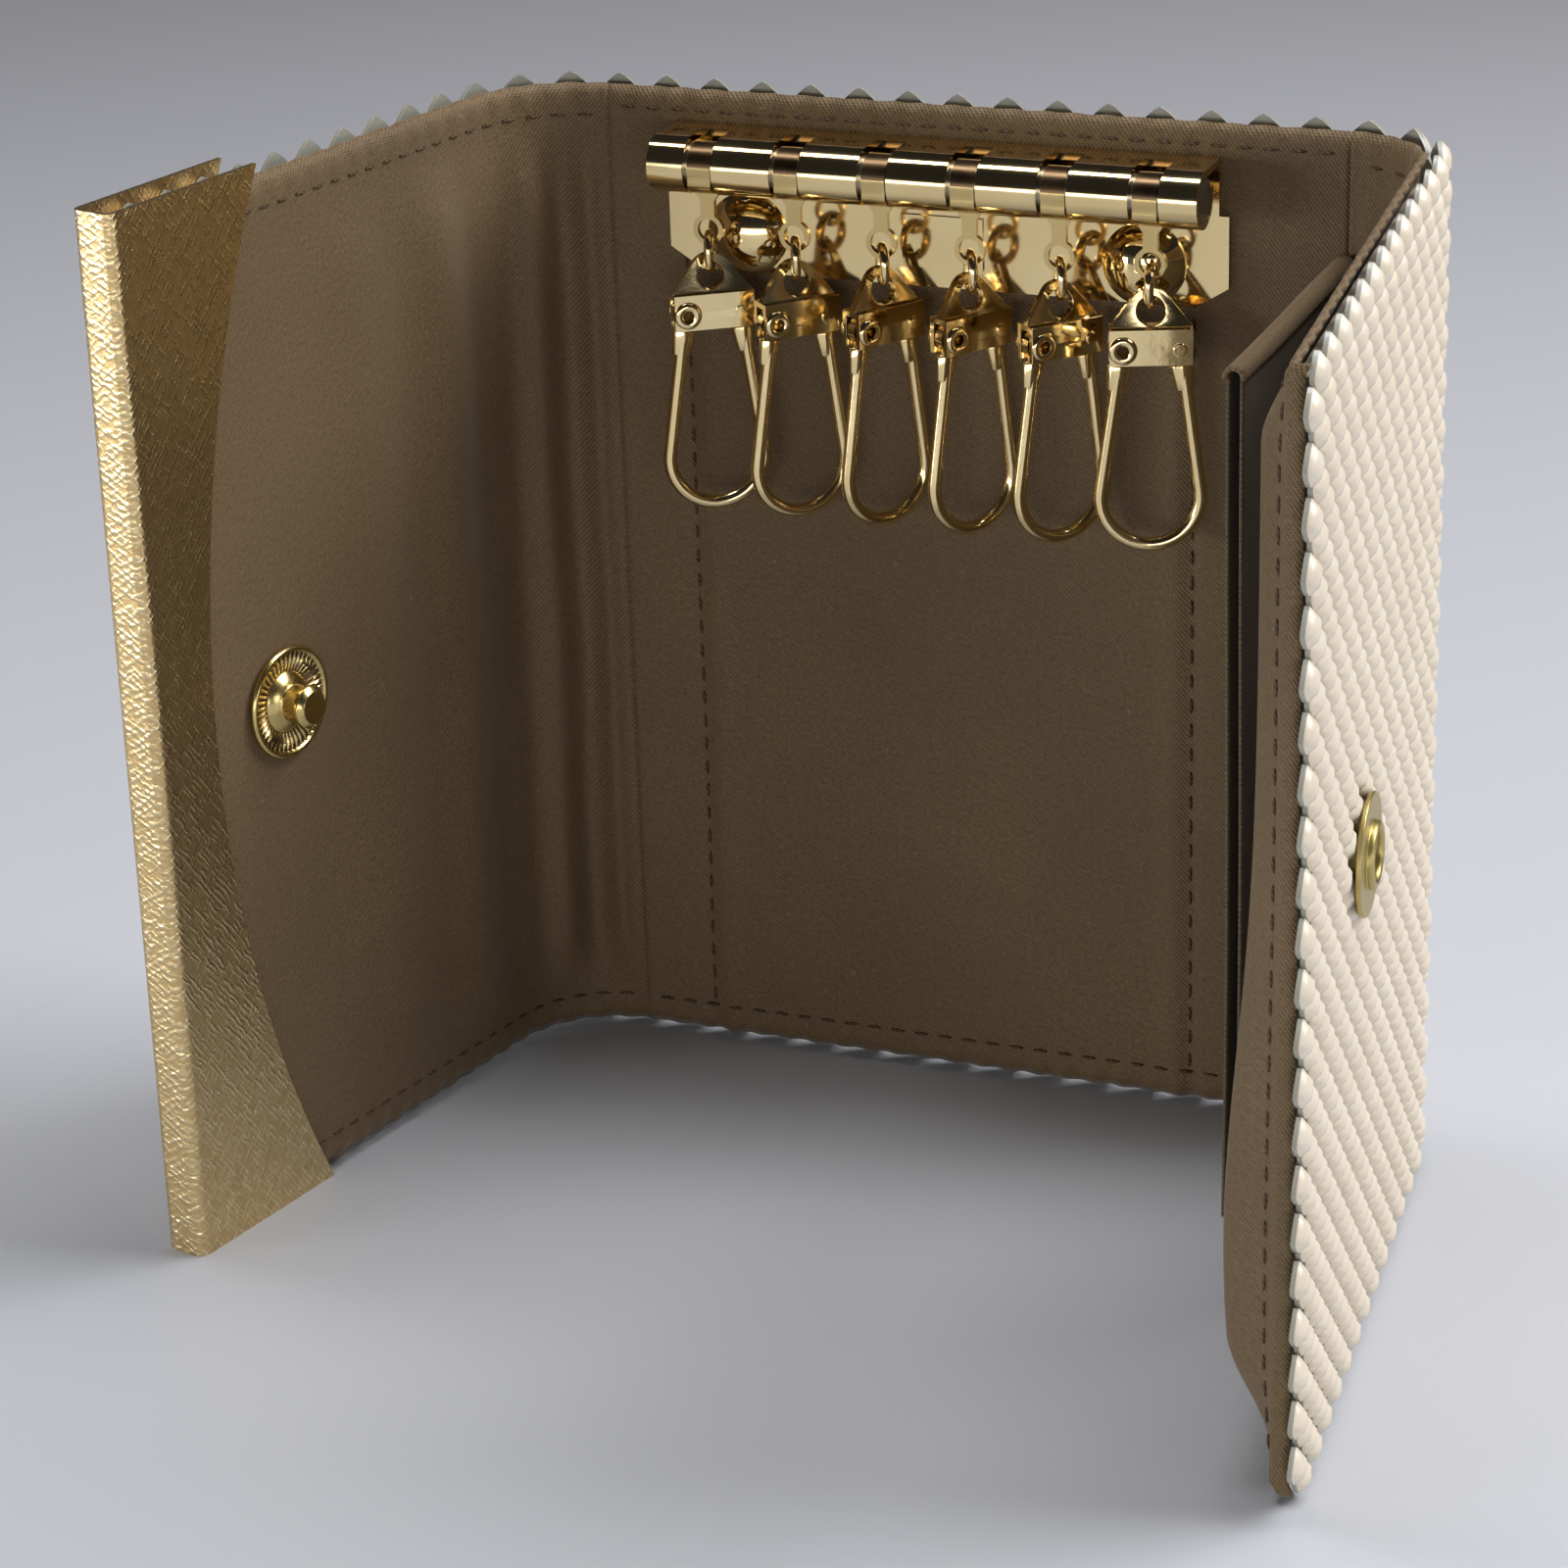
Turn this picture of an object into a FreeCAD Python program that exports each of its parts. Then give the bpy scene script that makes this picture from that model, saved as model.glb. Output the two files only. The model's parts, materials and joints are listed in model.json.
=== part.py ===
"""Trifold key case: metal-tile mesh outside, cloth lining inside, a rolled rail with six swivelling hooks,
a channel trim on the left flap's edge and a snap that closes the left flap on the right one."""
import FreeCAD, Part
import math
import os

from FreeCAD import Placement, Rotation, Vector

doc = FreeCAD.newDocument("key_case")
sheet = doc.addObject("Spreadsheet::Sheet", "Sizes")

# Driving dimensions in millimetres and degrees
SIZES = {
    # panels, from the lining outwards
    "case_height": 100.0,
    "hem_rise": 0.8,
    "lining_thickness": 0.6,
    "board_thickness": 1.0,
    "board_margin": 2.0,
    "rivet_room": 0.4,
    "mesh_thickness": 1.4,
    "tile_across": 4.9,
    "tile_up": 4.35,
    "tile_relief": 0.6,
    "mesh_proud": 0.3,
    "hem_setback": 1.1,
    # back panel and the two folds
    "back_left": 34.1,
    "back_right": 38.8,
    "left_fold_radius": 10.4,
    "right_fold_radius": 7.5,
    "left_lean_angle": 12.0,
    "right_lean_angle": 5.0,
    "left_reach": 52.0,
    "right_reach": 63.0,
    "fold_gap": 0.3,
    "fold_rise": 0.5,
    # channel trim on the left flap's edge
    "trim_wall": 0.5,
    "trim_slip": 0.05,
    "trim_end_width": 19.6,
    "trim_mid_width": 8.0,
    "trim_rise": 1.0,
    "trim_corner": 1.0,
    # snap fastener
    "snap_height": 50.0,
    "stud_setback": 18.4,
    "stud_head_radius": 2.05,
    "stud_neck_radius": 1.8,
    "stud_base_radius": 3.0,
    "stud_base_height": 0.8,
    "stud_neck_height": 2.2,
    "stud_height": 3.6,
    "washer_radius": 5.4,
    "washer_bore_radius": 1.9,
    "washer_sheet": 0.35,
    "washer_dish": 0.55,
    "washer_rim_radius": 0.3,
    "post_radius": 1.3,
    "post_flange_radius": 4.0,
    "post_flange": 0.35,
    "post_slip": 0.02,
    "socket_flange_radius": 5.4,
    "socket_flange": 0.5,
    "socket_ring_radius": 3.0,
    "socket_rise": 1.2,
    "socket_floor": 0.3,
    "snap_clearance": 0.1,
    # pocket leaf beside the right fold
    "leaf_reach": 35.3,
    "leaf_low": 8.0,
    "leaf_drop": 12.0,
    "leaf_cloth": 0.4,
    "leaf_gap": 0.2,
    "leaf_setback": 0.2,
    "leaf_rise": 0.4,
    # hook rail
    "rail_length": 53.6,
    "rail_sheet": 0.65,
    "rod_radius": 2.0,
    "rod_clearance": 0.06,
    "rod_drop": 6.0,
    "rod_standoff": 5.3,
    "curl_gap": 0.9,
    "plate_width": 55.5,
    "plate_drop": 11.5,
    "plate_chamfer_width": 3.2,
    "plate_chamfer_height": 2.0,
    "plate_pad_width": 8.0,
    "plate_pad_height": 5.0,
    "plate_pad_rise": 0.25,
    "slot_width": 2.9,
    "slot_margin": 0.25,
    # dome rivets of the rail
    "rivet_spacing": 39.4,
    "rivet_drop": 7.7,
    "rivet_radius": 4.0,
    "rivet_dome": 2.3,
    "rivet_edge": 0.25,
    "rivet_bore_depth": 1.2,
    # key hooks
    "hook_pitch": 8.7,
    "strap_width": 2.4,
    "strap_sheet": 0.6,
    "strap_neck_width": 1.4,
    "strap_eye_drop": 6.2,
    "strap_eye_radius": 1.5,
    "strap_hole_radius": 1.05,
    "link_wire_radius": 0.45,
    "link_bend_radius": 1.5,
    "link_length": 3.3,
    "link_slip": 0.14,
    "head_half_width": 3.85,
    "head_sheet": 0.55,
    "head_gap": 1.5,
    "head_ear_radius": 2.1,
    "head_ear_sheet": 0.7,
    "head_hole_radius": 1.35,
    "head_band_drop": 1.45,
    "head_band_height": 3.45,
    "head_bridge": 0.5,
    "head_dimple_radius": 0.6,
    "head_dimple_rise": 0.2,
    "gate_wire_radius": 0.65,
    "gate_bend_radius": 4.65,
    "gate_leg_offset": 2.6,
    "gate_pivot_rise": 1.5,
    "gate_drop": 19.8,
    "gate_latch_rise": 1.0,
    "gate_eye_radius": 1.3,
    "gate_eye_height": 1.0,
    "eyelet_radius": 0.8,
    "eyelet_bore_radius": 0.45,
    "eyelet_flange_radius": 1.2,
    "eyelet_flange": 0.25,
    "eyelet_clearance": 0.06,
    # reach of every cutting tool past what it cuts
    "overrun": 2.0,
}
# The angle that each hook, left to right, hangs turned about the vertical
HOOK_TURNS = (34.0, 46.0, 58.0, 57.0, 50.0, 20.0)
# The share of that angle at each piece above the head
TURN_SHARES = {"strap": 0.0, "link": 0.5}

for row, (alias, value) in enumerate(SIZES.items(), start=1):
    sheet.set(f"A{row}", alias)
    sheet.set(f"B{row}", str(value))
    sheet.setAlias(f"B{row}", alias)
doc.recompute()


def size(alias):
    """The value of one cell of the sheet."""
    return float(sheet.get(alias))


sub_parts = []


def keep(obj, label, placement):
    """Gives a finished piece its name and its place in the case."""
    obj.Label = label
    obj.Placement = placement
    sub_parts.append(obj)
    return obj


def bind(obj, **expressions):
    """Ties properties of an object to expressions in the sheet's aliases."""
    for prop, text in expressions.items():
        words = text
        for alias in sorted(SIZES, key=len, reverse=True):
            words = words.replace(f"<{alias}>", f"Sizes.{alias}")
        obj.setExpression(prop, words)
    return obj


# Helpers for sketched pieces
def draw(sketch, points):
    """Draws a closed outline: a point is (x, y), and an arc to a point is (x, y, (mid_x, mid_y))."""
    last_x, last_y, *_ = points[-1]
    start = Vector(last_x, last_y, 0)
    for x, y, *through in points:
        end = Vector(x, y, 0)
        if through:
            sketch.addGeometry(Part.Arc(start, Vector(*through[0], 0), end), False)
        else:
            sketch.addGeometry(Part.LineSegment(start, end), False)
        start = end


def draw_circle(sketch, centre, radius):
    """Draws one full circle."""
    sketch.addGeometry(Part.Circle(Vector(*centre, 0), Vector(0, 0, 1), radius), False)


def sketch_on(body, plane, name):
    """Starts a sketch on one of a body's own origin planes."""
    sketch = body.newObject("Sketcher::SketchObject", name)
    support = [f for f in body.Origin.OriginFeatures if f.Role == plane][0]
    sketch.AttachmentSupport = (support, [""])
    sketch.MapMode = "FlatFace"
    return sketch


def plate_body(name, outline, thickness, holes=(), forward=False):
    """A flat piece drawn upright in X and Z, thickened along +Y, or along -Y when it goes forward."""
    body = doc.addObject("PartDesign::Body", name)
    sketch = sketch_on(body, "XZ_Plane", f"{name}_outline")
    draw(sketch, outline)
    for centre, radius in holes:
        draw_circle(sketch, centre, radius)
    pad = body.newObject("PartDesign::Pad", f"{name}_pad")
    pad.Profile = sketch
    bind(pad, Length=thickness)
    pad.Reversed = not forward
    return body


def turned_body(name, outline):
    """A turned piece: the outline is (radius, along), turned about the axis along +Z."""
    body = doc.addObject("PartDesign::Body", name)
    sketch = sketch_on(body, "XZ_Plane", f"{name}_section")
    draw(sketch, outline)
    turn = body.newObject("PartDesign::Revolution", f"{name}_turn")
    turn.Profile = sketch
    turn.ReferenceAxis = (sketch, ["V_Axis"])
    turn.Angle = FULL_TURN
    return body


def cylinder(name, radius, height, placement, angle=None):
    """A cylinder along its own Z, or a sector of one."""
    obj = doc.addObject("Part::Cylinder", name)
    bind(obj, Radius=radius, Height=height)
    if angle:
        bind(obj, Angle=angle)
    obj.Placement = placement
    return obj


def block(name, length, width, height, placement):
    """A box bound to the sheet."""
    obj = doc.addObject("Part::Box", name)
    bind(obj, Length=length, Width=width, Height=height)
    obj.Placement = placement
    return obj


def cut(name, base, tool):
    """One piece less another."""
    obj = doc.addObject("Part::Cut", name)
    obj.Base = base
    obj.Tool = tool
    return obj


def fuse(name, shapes):
    """Several shapes as one solid."""
    obj = doc.addObject("Part::MultiFuse", name)
    obj.Shapes = shapes
    obj.Refine = True
    return obj


def group(name, shapes):
    """Separate solids that share one node."""
    obj = doc.addObject("Part::Compound", name)
    obj.Links = shapes
    return obj


def copy_of(name, source):
    """A copy of a finished prototype, to be placed by itself."""
    obj = doc.addObject("Part::Feature", name)
    obj.Shape = source.Shape.copy()
    return obj


def at(x=0.0, y=0.0, z=0.0, rotation=None):
    """A place with no turn, or with one."""
    return Placement(Vector(x, y, z), rotation or Rotation())


FULL_TURN = 360.0
RIGHT_ANGLE = 90.0
UP = Vector(0, 0, 1)
TO_FRONT = Rotation(Vector(1, 0, 0), RIGHT_ANGLE)
TO_BACK = Rotation(Vector(1, 0, 0), -RIGHT_ANGLE)
TO_RIGHT = Rotation(Vector(0, 1, 0), RIGHT_ANGLE)
OVERRUN = size("overrun")

# Layers of a panel, measured outwards from the lining's inner face
board_face = size("lining_thickness")
board_back = board_face + size("board_thickness")
mesh_face = board_back + size("rivet_room")
panel_thickness = mesh_face + size("mesh_thickness")
MESH_DEPTH = "<lining_thickness> + <board_thickness> + <rivet_room>"

# Fold axes and the frames of the two flaps
left_axis = Vector(-size("back_left"), -size("left_fold_radius"), 0)
right_axis = Vector(size("back_right"), -size("right_fold_radius"), 0)
left_turn = Rotation(UP, -RIGHT_ANGLE - size("left_lean_angle"))
right_turn = Rotation(UP, size("right_lean_angle") - RIGHT_ANGLE)
left_foot = left_axis - left_turn.multVec(Vector(0, size("left_fold_radius"), 0))
right_foot = right_axis + right_turn.multVec(Vector(0, size("right_fold_radius"), 0))


def on_back(x=0.0, depth=0.0, z=0.0, rotation=None):
    """A place on the back panel, by its depth outwards from the lining."""
    return at(x, depth, z, rotation)


def on_left(reach=0.0, depth=0.0, z=0.0, rotation=None):
    """A place on the left flap: reach from the fold, depth outwards from its lining."""
    return Placement(left_foot, left_turn) * at(reach, -depth, z, rotation)


def on_right(reach=0.0, depth=0.0, z=0.0, rotation=None):
    """A place on the right flap: reach from the fold, depth outwards from its lining."""
    return Placement(right_foot, right_turn) * at(reach, depth, z, rotation)


# Outlines of the panels
def rectangle(x_low, x_high, z_low, z_high):
    """The corners of an upright rectangle."""
    return [(x_low, z_low), (x_high, z_low), (x_high, z_high), (x_low, z_high)]


# Mesh of tiles that stand on their corners, in rows shifted by half a tile
mesh_top = size("case_height") + size("mesh_proud")
HALF_SHARE = 0.5
TILE_FLAT_SHARE = 0.55


def tile_centres(across, upward, end_teeth):
    """The tiles' middles, counted in half tiles; those on a plain end are half tiles."""
    last = 2 * across
    full = [(i, j) for i in range(1, last, 2) for j in range(1, 2 * upward, 2)]
    between = [(i, j) for i in range(0, last + 1, 2) for j in range(2, 2 * upward, 2)]
    return full + [(i, j) for i, j in between if i < last or not end_teeth]


def mesh_outline(across, upward, end_teeth):
    """The corners round a mesh panel, counted in half tiles."""
    last = 2 * across
    high = 2 * upward
    bottom = [(i, 1 - i % 2) for i in range(last)]
    right = [(last, 1)]
    for j in range(3, high, 2):
        right += [(last - 1, j - 1), (last, j)] if end_teeth else [(last, j)]
    top = [(i, high - 1 + i % 2) for i in range(last - 1, 0, -1)]
    left = [(0, j) for j in range(high - 1, 1, -2)]
    return bottom + right + top + left


def tiled_mesh(name, x_low, x_high, end_teeth, outward, flat_share=0):
    """A mesh panel in X and Z with low pyramid tiles outwards, along +Y or -Y, flat over a share of each."""
    across = max(1, round((x_high - x_low) / size("tile_across")))
    upward = max(1, round(mesh_top / size("tile_up")))
    half_step = (x_high - x_low) / across * HALF_SHARE
    half_rise = mesh_top / upward * HALF_SHARE
    thick = size("mesh_thickness")
    valley = thick - size("tile_relief")

    def corner(place, height):
        i, j = place
        return Vector(x_low + i * half_step, outward * height, j * half_rise)

    def face(points):
        return Part.Face(Part.makePolygon([*points, points[0]]))

    centres = set(tile_centres(across, upward, end_teeth))
    faces = [face([corner(place, 0) for place in mesh_outline(across, upward, end_teeth)])]
    for i, j in centres:
        ring = [(i, j - 1), (i + 1, j), (i, j + 1), (i - 1, j)]
        crown = {(a, b): corner((i + (a - i) * flat_share, j + (b - j) * flat_share), thick) for a, b in ring}
        if flat_share:
            faces.append(face([crown[place] for place in ring if 0 <= place[0] <= 2 * across]))
        for first, second in zip(ring, ring[1:] + ring[:1]):
            beside = (first[0] + second[0] - i, first[1] + second[1] - j)
            if not 0 <= beside[0] <= 2 * across:
                continue
            slope = [crown[second], crown[first]] if flat_share else [crown[first]]
            faces.append(face([corner(first, valley), corner(second, valley), *slope]))
            if beside not in centres:
                faces.append(face([corner(first, 0), corner(second, 0), corner(second, valley),
                                   corner(first, valley)]))
        if i in (0, 2 * across):
            upper, lower = ring[2], ring[0]
            slope = [crown[upper], crown[lower]] if flat_share else [crown[upper]]
            faces.append(face([corner(lower, 0), corner(upper, 0), corner(upper, valley), *slope,
                               corner(lower, valley)]))
    shell = Part.makeShell(faces)
    shell.sewShape()
    solid = Part.makeSolid(shell)
    if solid.Volume < 0:
        solid.reverse()
    obj = doc.addObject("Part::Feature", name)
    obj.Shape = solid
    return obj


lining_low = size("hem_rise")
lining_high = size("case_height")
board_low = lining_low + size("board_margin")
board_high = lining_high - size("board_margin")

# Rivets of the rail, below the rod that the hooks hang on
rod_z = size("case_height") - size("rod_drop")
rivet_z = rod_z - size("rivet_drop")
rivet_places = [-size("rivet_spacing") / 2, size("rivet_spacing") / 2]
shank_holes = [((x, rivet_z), size("post_radius") + size("post_slip")) for x in rivet_places]


# Back panel
def back_panel():
    """Lining, board and mesh of the back, flat between the two folds."""
    x_low = -size("back_left")
    x_high = size("back_right")
    margin = size("board_margin")
    lining = plate_body("back_lining_body", rectangle(x_low, x_high, lining_low, lining_high),
                        "<lining_thickness>", shank_holes)
    keep(lining, "back_lining", on_back())
    board = plate_body("back_board_body", rectangle(x_low + margin, x_high - margin, board_low, board_high),
                       "<board_thickness>", shank_holes)
    keep(board, "back_board", on_back(depth=board_face))
    mesh = tiled_mesh("back_mesh_tiles", x_low, x_high, False, 1, TILE_FLAT_SHARE)
    keep(mesh, "back_mesh", on_back(depth=mesh_face))


# Soft folds between the panels
def fold_strip(label, axis, radius, thickness, height, start, sweep, low):
    """A strip of one layer that bends about a fold axis, from start through sweep degrees."""
    centre = at(axis.x, axis.y, low, Rotation(UP, start))
    outer = cylinder(f"{label}_outer", f"{radius} + {thickness}", height, centre, sweep)
    inner = cylinder(f"{label}_inner", radius, f"{height} + <overrun>", centre, sweep)
    keep(cut(f"{label}_strip", outer, inner), label, at())


def folds():
    """Lining and mesh round both folds."""
    lining_height = "<case_height> - <hem_rise>"
    mesh_height = "<case_height> - <fold_rise>"
    sides = (("left", left_axis, RIGHT_ANGLE, f"{RIGHT_ANGLE} - <left_lean_angle>"),
             ("right", right_axis, size("right_lean_angle"), f"{RIGHT_ANGLE} - <right_lean_angle>"))
    for side, axis, start, sweep in sides:
        radius = f"<{side}_fold_radius>"
        fold_strip(f"{side}_fold_lining", axis, radius, "<lining_thickness>", lining_height, start, sweep,
                   lining_low)
        fold_strip(f"{side}_fold_mesh", axis, f"{radius} + {MESH_DEPTH}", "<mesh_thickness>", mesh_height,
                   start, sweep, size("fold_rise"))


def flanged_post(name, length):
    """A post that holds a fitting from the far side of a panel: its shank stands this long on its flange."""
    flange = size("post_flange")
    head = size("post_flange_radius")
    shank = size("post_radius")
    return turned_body(name, [
        (0, 0), (head, 0), (head, flange), (shank, flange), (shank, flange + length), (0, flange + length)])


# Left flap with its channel trim and the snap's stud
stud_reach = size("left_reach") - size("stud_setback")
trim_inside = panel_thickness + 2 * size("trim_slip")
left_panel_end = size("left_reach") - size("trim_corner") - size("trim_slip")


def left_flap():
    """Lining, board and mesh of the left flap, held in the trim at their free edge."""
    start = size("fold_gap")
    margin = size("board_margin")
    hole = [((stud_reach, size("snap_height")), size("post_radius") + size("post_slip"))]
    lining = plate_body("left_lining_body", rectangle(start, left_panel_end, lining_low, lining_high),
                        "<lining_thickness>", hole, True)
    keep(lining, "left_lining", on_left())
    board = plate_body("left_board_body", rectangle(start + margin, left_panel_end, board_low, board_high),
                       "<board_thickness>", hole, True)
    keep(board, "left_board", on_left(depth=board_face))
    mesh = tiled_mesh("left_mesh_tiles", start, left_panel_end, False, -1)
    keep(mesh, "left_mesh", on_left(depth=mesh_face))


def edge_trim():
    """A U channel of sheet metal round the flap's edge, whose walls are hollowed to a long arc."""
    wall = size("trim_wall")
    half_in = trim_inside / 2
    half_out = half_in + wall
    end = size("left_reach")
    wide = end - size("trim_end_width")
    corner = size("trim_corner")
    bend = end - corner
    inside = corner - wall
    turned = math.sin(math.pi / 4)
    body = doc.addObject("PartDesign::Body", "edge_trim_channel")
    sketch = sketch_on(body, "XY_Plane", "edge_trim_section")
    draw(sketch, [
        (wide, -half_out), (bend, -half_out),
        (end, corner - half_out, (bend + corner * turned, corner - half_out - corner * turned)),
        (end, half_out - corner),
        (bend, half_out, (bend + corner * turned, half_out - corner + corner * turned)),
        (wide, half_out), (wide, half_in), (bend, half_in),
        (end - wall, half_in - inside, (bend + inside * turned, half_in - inside + inside * turned)),
        (end - wall, inside - half_in),
        (bend, -half_in, (bend + inside * turned, inside - half_in - inside * turned)), (wide, -half_in)])
    pad = body.newObject("PartDesign::Pad", "edge_trim_pad")
    pad.Profile = sketch
    bind(pad, Length="<case_height> + <trim_rise>")
    hollow = size("trim_end_width") - size("trim_mid_width")
    half_height = (size("case_height") + size("trim_rise")) / 2
    arc_radius = (half_height ** 2 + hollow ** 2) / (2 * hollow)
    half_rise = "(<case_height> + <trim_rise>) / 2"
    depth = "(<trim_end_width> - <trim_mid_width>)"
    tool = cylinder("edge_trim_hollow", f"({half_rise} * {half_rise} + {depth} * {depth}) / (2 * {depth})",
                    f"2 * (<overrun> + <trim_wall> + <trim_slip>) + {MESH_DEPTH} + <mesh_thickness>",
                    at(wide + hollow - arc_radius, half_in + wall + OVERRUN, half_height, TO_FRONT))
    keep(cut("edge_trim_cut", body, tool), "edge_trim", on_left(depth=panel_thickness / 2))


def snap_stud():
    """The stud, the dished rosette washer under it and the post behind them, on the left flap's lining."""
    dish = size("washer_dish")
    sheet_metal = size("washer_sheet")
    rim = size("washer_rim_radius")
    outer = size("washer_radius")
    bore = size("washer_bore_radius")
    rim_centre = outer - rim
    washer = turned_body("stud_washer_body", [
        (bore, 0), (size("stud_base_radius"), 0), (rim_centre, dish - sheet_metal),
        (rim_centre, dish + rim, (outer, dish)), (rim_centre - rim, dish),
        (size("stud_base_radius"), sheet_metal), (bore, sheet_metal)])
    keep(washer, "stud_washer", on_left(stud_reach, 0, size("snap_height"), TO_BACK))
    base = sheet_metal + size("stud_base_height")
    neck = sheet_metal + size("stud_neck_height")
    top = size("stud_height")
    head = size("stud_head_radius")
    post = size("post_radius") + size("post_slip")
    crown = (head - size("stud_neck_radius")) * 2
    stud = turned_body("snap_stud_body", [
        (post, sheet_metal), (size("stud_base_radius"), sheet_metal),
        (size("stud_neck_radius"), base, (size("stud_neck_radius") + crown, base - crown / 2)),
        (size("stud_neck_radius"), neck), (head, neck + crown), (head, top - crown), (head - crown, top),
        (0, top), (0, base), (post, base)])
    keep(stud, "snap_stud", on_left(stud_reach, 0, size("snap_height"), TO_BACK))
    keep(flanged_post("stud_post_body", board_back), "stud_post",
         on_left(stud_reach, board_back + size("post_flange"), size("snap_height"), TO_BACK))


# Right flap with the snap's socket
socket_reach = size("back_left") + size("back_right") - stud_reach
socket_bore = size("stud_head_radius") + size("snap_clearance")


def right_flap():
    """Lining, board and mesh of the right flap, whose free edge shows the mesh's tile corners."""
    start = size("fold_gap")
    end = size("right_reach")
    margin = size("board_margin")
    place = (socket_reach, size("snap_height"))
    post_hole = [(place, size("post_radius") + size("post_slip"))]
    hem = end - size("hem_setback")
    lining = plate_body("right_lining_body", rectangle(start, hem, lining_low, lining_high),
                        "<lining_thickness>", post_hole)
    keep(lining, "right_lining", on_right())
    board = plate_body("right_board_body", rectangle(start + margin, hem - margin, board_low, board_high),
                       "<board_thickness>", post_hole)
    keep(board, "right_board", on_right(depth=board_face))
    tiles = tiled_mesh("right_mesh_tiles", start, end, True, 1)
    hole = cylinder("right_mesh_hole", "<socket_ring_radius> + <snap_clearance>",
                    "<mesh_thickness> + 2 * <overrun>",
                    at(socket_reach, -OVERRUN, size("snap_height"), TO_BACK))
    keep(cut("right_mesh_cut", tiles, hole), "right_mesh", on_right(depth=mesh_face))


def snap_socket():
    """The socket cup with its flange on the mesh, and its post from the lining's side."""
    floor = size("socket_floor")
    face = panel_thickness - board_back
    top = face + size("socket_rise")
    ring = size("socket_ring_radius")
    flange = size("socket_flange_radius")
    lip = (ring - socket_bore) / 2
    post = size("post_radius") + size("post_slip")
    socket = turned_body("snap_socket_body", [
        (post, 0), (ring, 0), (ring, face), (flange, face), (flange, face + size("socket_flange")),
        (ring, face + size("socket_flange")), (ring, top - lip), (socket_bore, top - lip, (ring - lip, top)),
        (socket_bore, floor), (post, floor)])
    keep(socket, "snap_socket", on_right(socket_reach, board_back, size("snap_height"), TO_BACK))
    keep(flanged_post("socket_post_body", board_back + floor), "socket_post",
         on_right(socket_reach, -size("post_flange"), size("snap_height"), TO_BACK))


# Pocket leaf, which stands straight forward from the back's right end
leaf_thickness = 2 * size("leaf_cloth") + size("leaf_gap")
leaf_axis = Vector(size("back_right") - size("leaf_setback"), -size("leaf_rise") - leaf_thickness / 2, 0)
leaf_place = at(leaf_axis.x - leaf_thickness / 2, -size("leaf_rise"), size("leaf_low"),
                Rotation(UP, -RIGHT_ANGLE))


def pocket_leaf():
    """A leaf of doubled cloth, folded on its sewn edge and open above and at its free edge."""
    body = doc.addObject("PartDesign::Body", "pocket_leaf_body")
    sketch = sketch_on(body, "XY_Plane", "pocket_leaf_section")
    cloth = size("leaf_cloth")
    reach = size("leaf_reach")
    inside = size("leaf_gap")
    draw(sketch, [
        (0, 0), (reach, 0), (reach, cloth), (cloth, cloth), (cloth, cloth + inside), (reach, cloth + inside),
        (reach, leaf_thickness), (0, leaf_thickness)])
    pad = body.newObject("PartDesign::Pad", "pocket_leaf_pad")
    pad.Profile = sketch
    bind(pad, Length="<case_height> - <leaf_drop> - <leaf_low>")
    keep(body, "pocket_leaf", leaf_place)


# Hook rail
rod_y = -size("rod_standoff")
curl_inner = size("rod_radius") + size("rod_clearance")
curl_outer = curl_inner + size("rail_sheet")
hook_count = len(HOOK_TURNS)
hook_places = [(i - (hook_count - 1) / 2) * size("hook_pitch") for i in range(hook_count)]


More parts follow.
